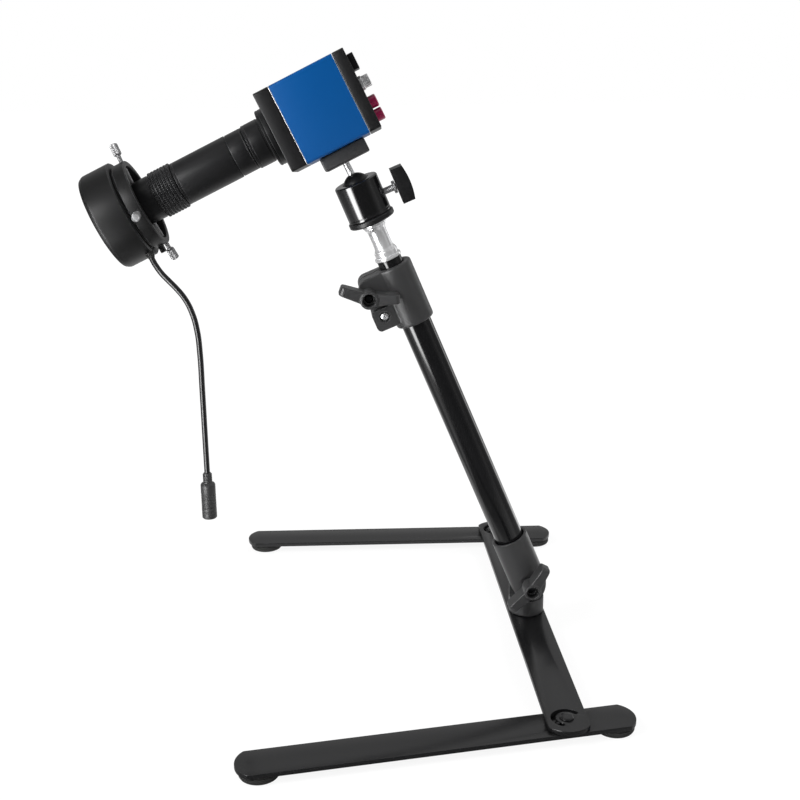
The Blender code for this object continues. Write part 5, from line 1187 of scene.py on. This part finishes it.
rear_cover = case_part("rear_case_cover", COVER_REAR, -21.9, 0.5)
rear_screws = sunk_screws(rear_cover, COVER_REAR, -1)
BUTTON_PLACES = {"upper_button": -9.0, "lower_button": -17.6}
for above in BUTTON_PLACES.values():
    well = turned("button_well", BUTTON_WELL_OUTLINE, 0)
    carve(rear_cover, seat(well, placed(above, 0, COVER_REAR) @ turn(180, "X")))
smooth(rear_cover)
fit_out(seat(rear_cover, OPTIC), "camera", "anodised_black", "rear_cover")
case_screws = seat(joined("case_screws", front_screws + rear_screws), OPTIC)
fit_out(case_screws, "camera", "plated_steel")

# %% [markdown]
# ### What is set in the rear
#
# The rear cover carries a flat signal socket, a round threaded power jack and two crimson
# push buttons. The socket is a box with the mouth bevelled and sunk, and a contact tongue in
# the mouth; the jack and the buttons are turned.

# %% The signal socket
signal = boxed("signal_socket_body", (10.2, 14.0, 3.8), (0, 0, 1.9))
pick(signal, "FACE", lambda place: place.z > 3.7)
bpy.ops.mesh.inset(thickness=1.7 * MM)
bpy.ops.mesh.extrude_region_move(TRANSFORM_OT_translate={"value": (0, 0, -3.2 * MM)})
leave_edit()
round_edges(signal, 0.35, 3, 50.0)
tongue = boxed("contact_tongue", (1.7, 8.2, 2.6), (0, 0, 1.9))
round_edges(tongue, 0.2, 2)
SIGNAL = OPTIC @ placed(17.2, 0, REAR_FITTINGS) @ turn(180, "X")
fit_out(seat(signal, SIGNAL), "camera", "anodised_black", "signal_socket")
fit_out(seat(tongue, SIGNAL), "camera", "plated_steel")

# %% The power jack and the buttons
jack = turned("power_jack_socket", [
    (0, 0), (4.6, 0), (4.6, 1.5), (4.3, 1.8), (3.95, 1.8),
    *threaded(3.95, 2.2, 6.0, 0.75, 0.25)[::-1],
    (3.6, 6.2), (2.9, 6.2), (2.7, 5.9), (2.7, 2.2), (0.95, 2.2), (0.95, 5.0), (0.6, 5.3), (0, 5.3),
], 0.08, steps=72)
seat(jack, OPTIC @ placed(3.7, 0, REAR_FITTINGS) @ turn(180, "X"))
fit_out(jack, "camera", "polished_steel", "power_jack")

for name, above in BUTTON_PLACES.items():
    cap = turned(f"{name}_cap", [
        (0, 4.55), (2.0, 4.7), (3.2, 5.0), (3.6, 4.9), (3.95, 4.3), (3.95, -4.0), (0, -4.0),
    ], 0.25, steps=72)
    seat(cap, OPTIC @ placed(above, 0, COVER_REAR) @ turn(180, "X"))
    fit_out(cap, name, "crimson", name)

# %% [markdown]
# ### The tripod block
#
# A block of moulded plastic sits under the case and takes the screw of the ball head.

# %% The block
block = boxed("tripod_mount_block", (30.0, 27.0, 8.6), (1.8, 0, 20.8))
round_edges(block, 1.1, 4)
THREAD_OUTLINE = [(0, 22.8), (2.6, 22.8), (2.6, 17.0), (3.2, 16.4), (3.2, 10), (0, 10)]
BLOCK_SCREWS_AT = (-9.0, 12.6)
carve(block, turned("thread_tool", THREAD_OUTLINE, 0))
for along in BLOCK_SCREWS_AT:
    well = turned("well", [(0, 24), (1.7, 24), (1.7, 19.0), (3.1, 19.0), (3.1, 10), (0, 10)], 0, 48)
    carve(block, seat(well, placed(along, 0, 0)))
smooth(block)
fit_out(seat(block, BALL), "camera", "moulded_black", "tripod_block")
block_screws = []
for along in BLOCK_SCREWS_AT:
    outline = [(0, 0), (2.4, 0.05), (2.8, 0.5), (2.8, 1.9), (0, 1.9)]
    screw = turned("block_screw", outline, 0.12, steps=48)
    carve(screw, rod("key_tool", 2.9, -1, 1.3, 6))
    block_screws.append(seat(smooth(screw), placed(along, 0, 17.0)))
fit_out(seat(joined("block_screws", block_screws), BALL), "camera", "plated_steel")

# %% [markdown]
# ## The lens
#
# Every part of the lens is turned about the optical axis. What the eye reads are the rims,
# the fine grooves between the parts and the ridges of the zoom ring, so those are in the
# outlines. The knurling on the ridges is cut by one long star-shaped rod, as a knurling wheel
# would press it.

# %% Mount ring, rear tube and barrel
LENS_BORE = 9.5
THUMB_STATION = 124.1
GLAND_STATION = 132.4
lathe("lens_mount_ring", [
    (LENS_BORE, 36.1), (17.7, 36.1), (18.15, 35.6), (18.15, 34.6), (17.85, 34.45), (17.85, 34.15),
    (18.15, 34.0), (18.15, 31.4), (17.7, 30.9), (12.7, 30.9), (12.7, 25.9), (LENS_BORE, 25.9),
], 0.12, 144, OPTIC, "camera", "anodised_black", "mount_ring", look="lens_black")

lathe("lens_back_tube", [
    (LENS_BORE, 48.1), (13.6, 48.1), (14.1, 47.6), (14.1, 46.4), (13.9, 46.3), (13.9, 46.0),
    (14.1, 45.9), (14.1, 37.6), (13.8, 37.4), (13.8, 36.4), (LENS_BORE, 36.4),
], 0.12, 144, OPTIC, "camera", "anodised_black", "lens_rear_tube", look="lens_black")

lathe("lens_main_barrel", [
    (LENS_BORE, 118.1), (11.5, 118.1), (11.5, 97.3), (13.4, 97.3), (13.75, 96.9), (13.75, 95.6),
    (13.6, 95.5), (13.6, 95.2), (13.75, 95.1), (13.75, 59.9), (13.05, 59.6), (13.05, 59.1),
    (13.55, 59.0), (13.55, 49.6), (13.4, 49.5), (13.4, 49.2), (13.55, 49.1), (13.55, 48.7),
    (13.3, 48.4), (LENS_BORE, 48.4),
], 0.1, 144, OPTIC, "camera", "anodised_black", "lens_barrel", look="lens_black")

# %% The ridged zoom ring
ZOOM_LOW = 97.6
RIDGE_COUNT = 7
RIDGE_PITCH = 14.9 / RIDGE_COUNT
ridges = []
for index in range(RIDGE_COUNT):
    low = ZOOM_LOW + index * RIDGE_PITCH
    ridges += [
        (14.05, low + 0.1), (14.05, low + 0.45), (14.75, low + 0.62), (14.75, low + 1.68),
        (14.05, low + 1.9),
    ]
zoom_ring = turned("lens_zoom_ring", [
    (11.8, ZOOM_LOW), (13.9, ZOOM_LOW), *ridges, (13.9, 112.5), (11.8, 112.5),
], 0.06, steps=144)
KNURL_TEETH = 64


def knurled(made, teeth, share):
    """Draw every second side point of a rod in, which leaves a star."""

    def every_second(place):
        return round(math.atan2(place.y, place.x) / math.tau * 2 * teeth) % 2 == 0

    pick(made, "VERT", every_second)
    bpy.ops.transform.resize(value=(share, share, 1.0))
    leave_edit()
    return made


star = knurled(rod("knurl_tool", 2 * 15.1, 90, 120, 2 * KNURL_TEETH), KNURL_TEETH, 0.945)
carve(zoom_ring, star, "INTERSECT")
smooth(zoom_ring, 25.0)
fit_out(seat(zoom_ring, OPTIC), "zoom_ring", "anodised_black", "zoom_ring", look="lens_black")

# %% The neck and the front glass
lathe("lens_front_neck", [
    (11.05, 127.6), (13.4, 127.6), (13.85, 127.2), (13.85, 113.6), (13.5, 113.4), (13.5, 112.8),
    (11.8, 112.8), (11.8, 118.4), (LENS_BORE, 118.4), (LENS_BORE, 123.1), (11.05, 123.1),
    (11.05, 125.9), (11.3, 126.1), (11.05, 126.4), (11.3, 126.7), (11.05, 127.0),
], 0.08, 144, OPTIC, "camera", "anodised_black", "lens_neck", look="lens_black")
front = [(10.75 * t, 126.4 - 1.2 * t**2) for t in (0.0, 0.15, 0.3, 0.45, 0.6, 0.75, 0.88, 1.0)]
lathe("lens_front_glass", [
    *front, (10.75, 123.4), (0, 123.4),
], 0, 96, OPTIC, "camera", "coated_glass", "front_glass")

# %% [markdown]
# ## The ring light
#
# A deep round housing hangs on the neck of the lens by a clamp ring with three thumb
# screws. Its front holds a white board with two rows of small domed lamps behind a milky
# cover. One lamp is turned once, and the rows are copies of it.

# %% The housing and its clamp ring
housing = turned("ring_light_body", [
    (17.0, 150.6), (17.0, 128.7), (26.5, 128.7), (26.5, 129.8), (30.3, 129.8), (31.1, 130.6),
    (31.1, 147.4), (30.98, 148.3), (30.6, 149.2), (30.1, 150.0), (29.75, 150.6), (29.3, 150.6),
    (29.3, 138.6), (18.6, 138.6), (18.6, 150.6),
], 0.25, steps=180)
GLAND_TURN = turn(-160, "Z") @ turn(90, "Y")
carve(housing, seat(rod("gland_tool", 5.6, 27.8, 40), placed(0, 0, GLAND_STATION) @ GLAND_TURN))
smooth(housing)
fit_out(seat(housing, OPTIC), "ring_light", "anodised_black", "ring_light_housing", look="light_black")

clamp_ring = turned("light_clamp_ring", [
    (17.0, 128.4), (28.0, 128.4), (28.0, 121.1), (27.5, 120.6), (25.0, 120.6), (24.5, 121.1),
    (24.5, 127.2), (17.0, 127.2),
], 0.2, steps=180)
boss = boxed("boss", (7.5, 5.0, 3.2), (-28.45, 0, 126.0))
round_edges(boss, 0.5, 3)
carve(clamp_ring, boss, "UNION")
THUMB_TURNS = {
    f"thumb_screw_{number}": turn(-angle, "Z") @ turn(90, "Y")
    for number, angle in enumerate((-12.0, 101.0, 202.0), 1)
}
for around in THUMB_TURNS.values():
    outline = [(0, 40), (2.4, 40), (1.9, 27.9), (1.7, 27.6), (1.7, 20), (0, 20)]
    hole = turned("thumb_tool", outline, 0, steps=48)
    carve(clamp_ring, seat(hole, placed(0, 0, THUMB_STATION) @ around))
smooth(clamp_ring)
fit_out(seat(clamp_ring, OPTIC), "ring_light", "anodised_black", "clamp_ring", look="light_black")

# %% The lamps and their cover
board_outline = [(18.9, 138.9), (29.0, 138.9), (29.0, 140.5), (18.9, 140.5)]
lathe("lamp_board", board_outline, 0.1, 120, OPTIC, "ring_light", "board_white", "led_board")
bulbs = []
dome = turned("bulb", [
    (0, 145.2), (0.75, 145.05), (1.3, 144.6), (1.6, 143.9), (1.7, 143.0), (1.7, 141.3),
    (2.0, 141.2), (2.0, 140.6), (0, 140.6),
], 0, steps=12)
for radius, count in ((21.6, 24), (26.3, 30)):
    for index in range(count):
        twin = copy_of(dome, "bulb")
        bulbs.append(seat(twin, turn(360.0 * index / count, "Z") @ placed(radius, 0, 0)))
bpy.data.objects.remove(dome, do_unlink=True)
bulbs = seat(joined("lamp_bulbs", bulbs), OPTIC)
fit_out(bulbs, "ring_light", "milky_cover", look="clear_bulb")
lathe("milky_light_cover", [
    (18.9, 147.2), (29.0, 147.2), (29.0, 148.8), (28.6, 149.2), (19.3, 149.2), (18.9, 148.8),
], 0.15, 120, OPTIC, "ring_light", "milky_cover", "light_cover")

# %% [markdown]
# ### Thumb screws
#
# The head is a rod whose every second side point is drawn in, which makes the knurl, cut to
# shape by a turned form with chamfered ends. It is made once and copied.

# %% The thumb screws
THUMB_TEETH = 22
head = rod("thumb_screw_head", 5.2, 34.0, 41.6, 2 * THUMB_TEETH)
knurled(head, THUMB_TEETH, 0.93)
form = turned("thumb_form", [
    (0, 41.6), (1.5, 41.6), (1.7, 41.45), (2.0, 41.5), (2.15, 41.4), (2.7, 40.9),
    (2.7, 37.95), (2.35, 37.8),
    (2.35, 37.5), (2.7, 37.35), (2.7, 34.7), (2.1, 34.0), (0, 34.0),
], 0.05, steps=72)
carve(head, form, "INTERSECT")
shank = turned("thumb_shank", [
    (0, 34.5), (1.4, 34.5), (1.4, 33.2), *threaded(1.4, 15.2, 33.1, 0.6, 0.2),
    (1.2, 14.8), (0.8, 14.15), (0, 14.15),
], 0.03, steps=32)
carve(head, shank, "UNION")
smooth(head, 25.0)
for name, around in THUMB_TURNS.items():
    screw = copy_of(head, f"{name}_knurled")
    seat(screw, OPTIC @ placed(0, 0, THUMB_STATION) @ around)
    fit_out(screw, name, "plated_steel", name)
bpy.data.objects.remove(head, do_unlink=True)

# %% [markdown]
# ## The lead's gland and coupler
#
# A rubber grommet guards the lead where it leaves the light, and a moulded coupler with grip
# rings ends it. Both are turned.

# %% Gland and coupler
gland = turned("lead_gland", [
    (0, 28.1), (2.5, 28.1), (2.5, 31.0), (2.7, 31.3), (2.7, 31.9), (2.4, 32.1), (2.4, 32.5),
    (2.25, 32.7), (2.25, 33.1), (2.3, 33.3), (2.2, 33.8), (2.05, 34.0), (1.95, 34.4), (0, 34.4),
], 0.1, steps=64)
seat(gland, OPTIC @ placed(0, 0, GLAND_STATION) @ GLAND_TURN)
fit_out(gland, "ring_light", "rubber_black", "cord_gland")

neck_rings, grips = [], []
for low in (-6.6 + index * 1.25 for index in range(5)):
    neck_rings += [(2.95, low), (2.95, low + 0.75), (2.5, low + 0.9), (2.5, low + 1.15)]
for low in (-24.0 + index * 1.8 for index in range(6)):
    grips += [(4.75, low), (4.45, low + 0.25), (4.45, low + 0.75), (4.75, low + 1.0)]
coupler = turned("lead_coupler", [
    (0, -22.3), (2.75, -22.3), (2.75, -30.7), (3.0, -31.0), (4.3, -31.0), (4.75, -30.4), (4.75, -27.0),
    (4.55, -26.8), (4.55, -26.4), (4.75, -26.2), *grips, (4.75, -8.2), (4.2, -7.2), (3.3, -7.0),
    *neck_rings, (2.4, -0.1), (0, -0.1),
], 0.12, steps=72)
seat(coupler, shift(*cord_points[-1]) @ placed(0, 0, -0.3))
fit_out(coupler, "ring_light", "moulded_black", "cord_coupler")

# %% [markdown]
# ## Floor and light
#
# The object stands on a pale floor in a white room. The floor and the room show white to the
# camera, and the floor still takes a faint shadow. What a glossy face mirrors is shaped
# further: the room is dim in front, so that black stays black, and a tall bright strip stands
# on the left with a slim one on the right. Such strips draw the long streaks along painted
# tubes and turned steel. A photographer sets them up as lamps with black cards between them.

# %% Shape what is mirrored
FLOOR_SIZE = 8.0
FLOOR_HEIGHT = -0.0004
FLOOR_WHITE = 1.07
PLAIN_ROOM = 0.30
# Each strip: azimuth, inner and outer half angle in degrees, strength. A card: its share last.
STRIPS = ((-46.0, 5.0, 17.0, 17.0), (124.0, 3.0, 8.0, 1.8))
DARK_CARDS = ((8.0, 24.0, 66.0, 0.82), (-114.0, 14.0, 38.0, 0.62), (92.0, 8.0, 26.0, 0.5))


def ramp(tree, value, low, high, first, last):
    """A soft step from one value to another."""
    feeds = {"Value": value, "From Min": low, "From Max": high, "To Min": first, "To Max": last}
    node = add_node(tree, "ShaderNodeMapRange", feeds, interpolation_type="SMOOTHSTEP")
    return node.outputs["Result"]


def sector(tree, flat, azimuth, inner, outer):
    """A soft mask for the directions about one azimuth; zero degrees is towards -Y."""
    aim = (math.sin(math.radians(azimuth)), -math.cos(math.radians(azimuth)), 0.0)
    facing = add_node(tree, "ShaderNodeVectorMath", {0: flat, 1: aim}, operation="DOT_PRODUCT")
    limits = math.cos(math.radians(outer)), math.cos(math.radians(inner))
    return ramp(tree, facing.outputs["Value"], *limits, 0.0, 1.0)


def flattened(tree, vector):
    """The level direction of a vector."""
    feeds = {0: vector, 1: (1.0, 1.0, 0.0)}
    level = add_node(tree, "ShaderNodeVectorMath", feeds, operation="MULTIPLY").outputs[0]
    return add_node(tree, "ShaderNodeVectorMath", {0: level}, operation="NORMALIZE").outputs[0]


def mirrored(tree, vector, base, height_mask):
    """The brightness that glossy rays find: a base, dark cards and the bright strips."""
    flat = flattened(tree, vector)
    level = base
    for azimuth, inner, outer, share in DARK_CARDS:
        card = math_node(tree, "MULTIPLY", sector(tree, flat, azimuth, inner, outer), share)
        level = math_node(tree, "MULTIPLY", level, math_node(tree, "SUBTRACT", 1.0, card))
    for azimuth, inner, outer, strength in STRIPS:
        strip = math_node(tree, "MULTIPLY", sector(tree, flat, azimuth, inner, outer), strength)
        level = math_node(tree, "ADD", level, math_node(tree, "MULTIPLY", strip, height_mask))
    return level


def three_ways(tree, output, plain, straight, glossy):
    """Camera and transmitted rays see one shader, glossy rays another, the rest the plain one."""
    path = add_node(tree, "ShaderNodeLightPath")
    seen, through = path.outputs["Is Camera Ray"], path.outputs["Is Transmission Ray"]
    clear = math_node(tree, "MAXIMUM", seen, through)
    for share, shader in ((path.outputs["Is Glossy Ray"], glossy), (clear, straight)):
        feeds = {"Fac": share, 1: plain, 2: shader}
        plain = add_node(tree, "ShaderNodeMixShader", feeds).outputs[0]
    feed(tree, output, {"Surface": plain})


# %% The floor
start_clean()
bpy.ops.mesh.primitive_plane_add(size=FLOOR_SIZE, location=(0.0, 0.0, FLOOR_HEIGHT))
floor = bpy.context.active_object
floor.name = "floor"
floor_look = bpy.data.materials.new("pale floor")
floor_look.use_nodes = True
tree = floor_look.node_tree
tree.nodes.clear()
output = add_node(tree, "ShaderNodeOutputMaterial")
matt = add_node(tree, "ShaderNodeBsdfDiffuse", {"Color": (0.80, 0.80, 0.80, 1.0)}).outputs[0]
place = add_node(tree, "ShaderNodeTexCoord").outputs["Object"]
reach = add_node(tree, "ShaderNodeVectorMath", {0: place}, operation="LENGTH").outputs["Value"]
white = add_node(tree, "ShaderNodeEmission", {"Strength": FLOOR_WHITE}).outputs[0]
feeds = {"Fac": ramp(tree, reach, 0.5, 1.3, 0.84, 1.0), 1: matt, 2: white}
shown = add_node(tree, "ShaderNodeMixShader", feeds).outputs[0]
near_white = ramp(tree, reach, 0.15, 0.9, 1.0, 0.45)
strips_from = ramp(tree, reach, 0.25, 0.40, 0.0, 1.0)
level = mirrored(tree, place, near_white, strips_from)
cards = add_node(tree, "ShaderNodeEmission", {"Strength": level}).outputs[0]
three_ways(tree, output, matt, shown, cards)
floor.data.materials.append(floor_look)

# %% The room
world = bpy.data.worlds.new("white room")
bpy.context.scene.world = world
world.use_nodes = True
tree = world.node_tree
tree.nodes.clear()
output = add_node(tree, "ShaderNodeOutputWorld")
heading = add_node(tree, "ShaderNodeTexCoord").outputs["Generated"]
height = add_node(tree, "ShaderNodeSeparateXYZ", {0: heading}).outputs["Z"]
overhead = ramp(tree, height, 0.40, 0.90, 0.40, 0.9)
strips_below = ramp(tree, height, 0.30, 0.60, 1.0, 0.0)
rooms = [
    add_node(
        tree, "ShaderNodeBackground", {"Color": (1.0, 1.0, 1.0, 1.0), "Strength": strength}
    ).outputs[0]
    for strength in (PLAIN_ROOM, 1.0, mirrored(tree, heading, overhead, strips_below))
]
three_ways(tree, output, *rooms)
bpy.context.scene.view_settings.view_transform = "Standard"


# %% The lamps
def soft_lamp(name, place, target, size, power):
    """A broad lamp that faces a target; the strips stand for it in what is mirrored."""
    start_clean()
    bpy.ops.object.light_add(type="AREA", location=place)
    lamp = bpy.context.active_object
    lamp.name = name
    lamp.data.shape = "RECTANGLE"
    lamp.data.size, lamp.data.size_y = size
    lamp.data.energy = power
    lamp.visible_glossy = False
    lamp.rotation_mode = "QUATERNION"
    lamp.rotation_quaternion = (Vector(target) - Vector(place)).to_track_quat("-Z", "Y")
    return lamp


# Each lamp: its place, its target, its two sides in metres, its power in watts.
LAMPS = {
    "upper_left_lamp": ((-1.2, -0.7, 1.1), (0.0, 0.0, 0.18), (0.6, 0.8), 26.0),
    "right_lamp": ((1.1, -0.5, 0.8), (0.05, 0.0, 0.18), (0.35, 1.1), 8.0),
    "back_lamp": ((0.6, 1.3, 0.9), (0.0, 0.0, 0.18), (0.7, 0.7), 9.0),
    "front_lamp": ((0.1, -1.6, 0.25), (0.0, 0.0, 0.15), (1.2, 0.3), 3.0),
}
for name, settings in LAMPS.items():
    soft_lamp(name, *settings)
print("stage ready")

# %% Dress the cord
cord.data.materials.append(FINISHES["cord_black"])
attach(cord, "ring_light")
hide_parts("light_cord")
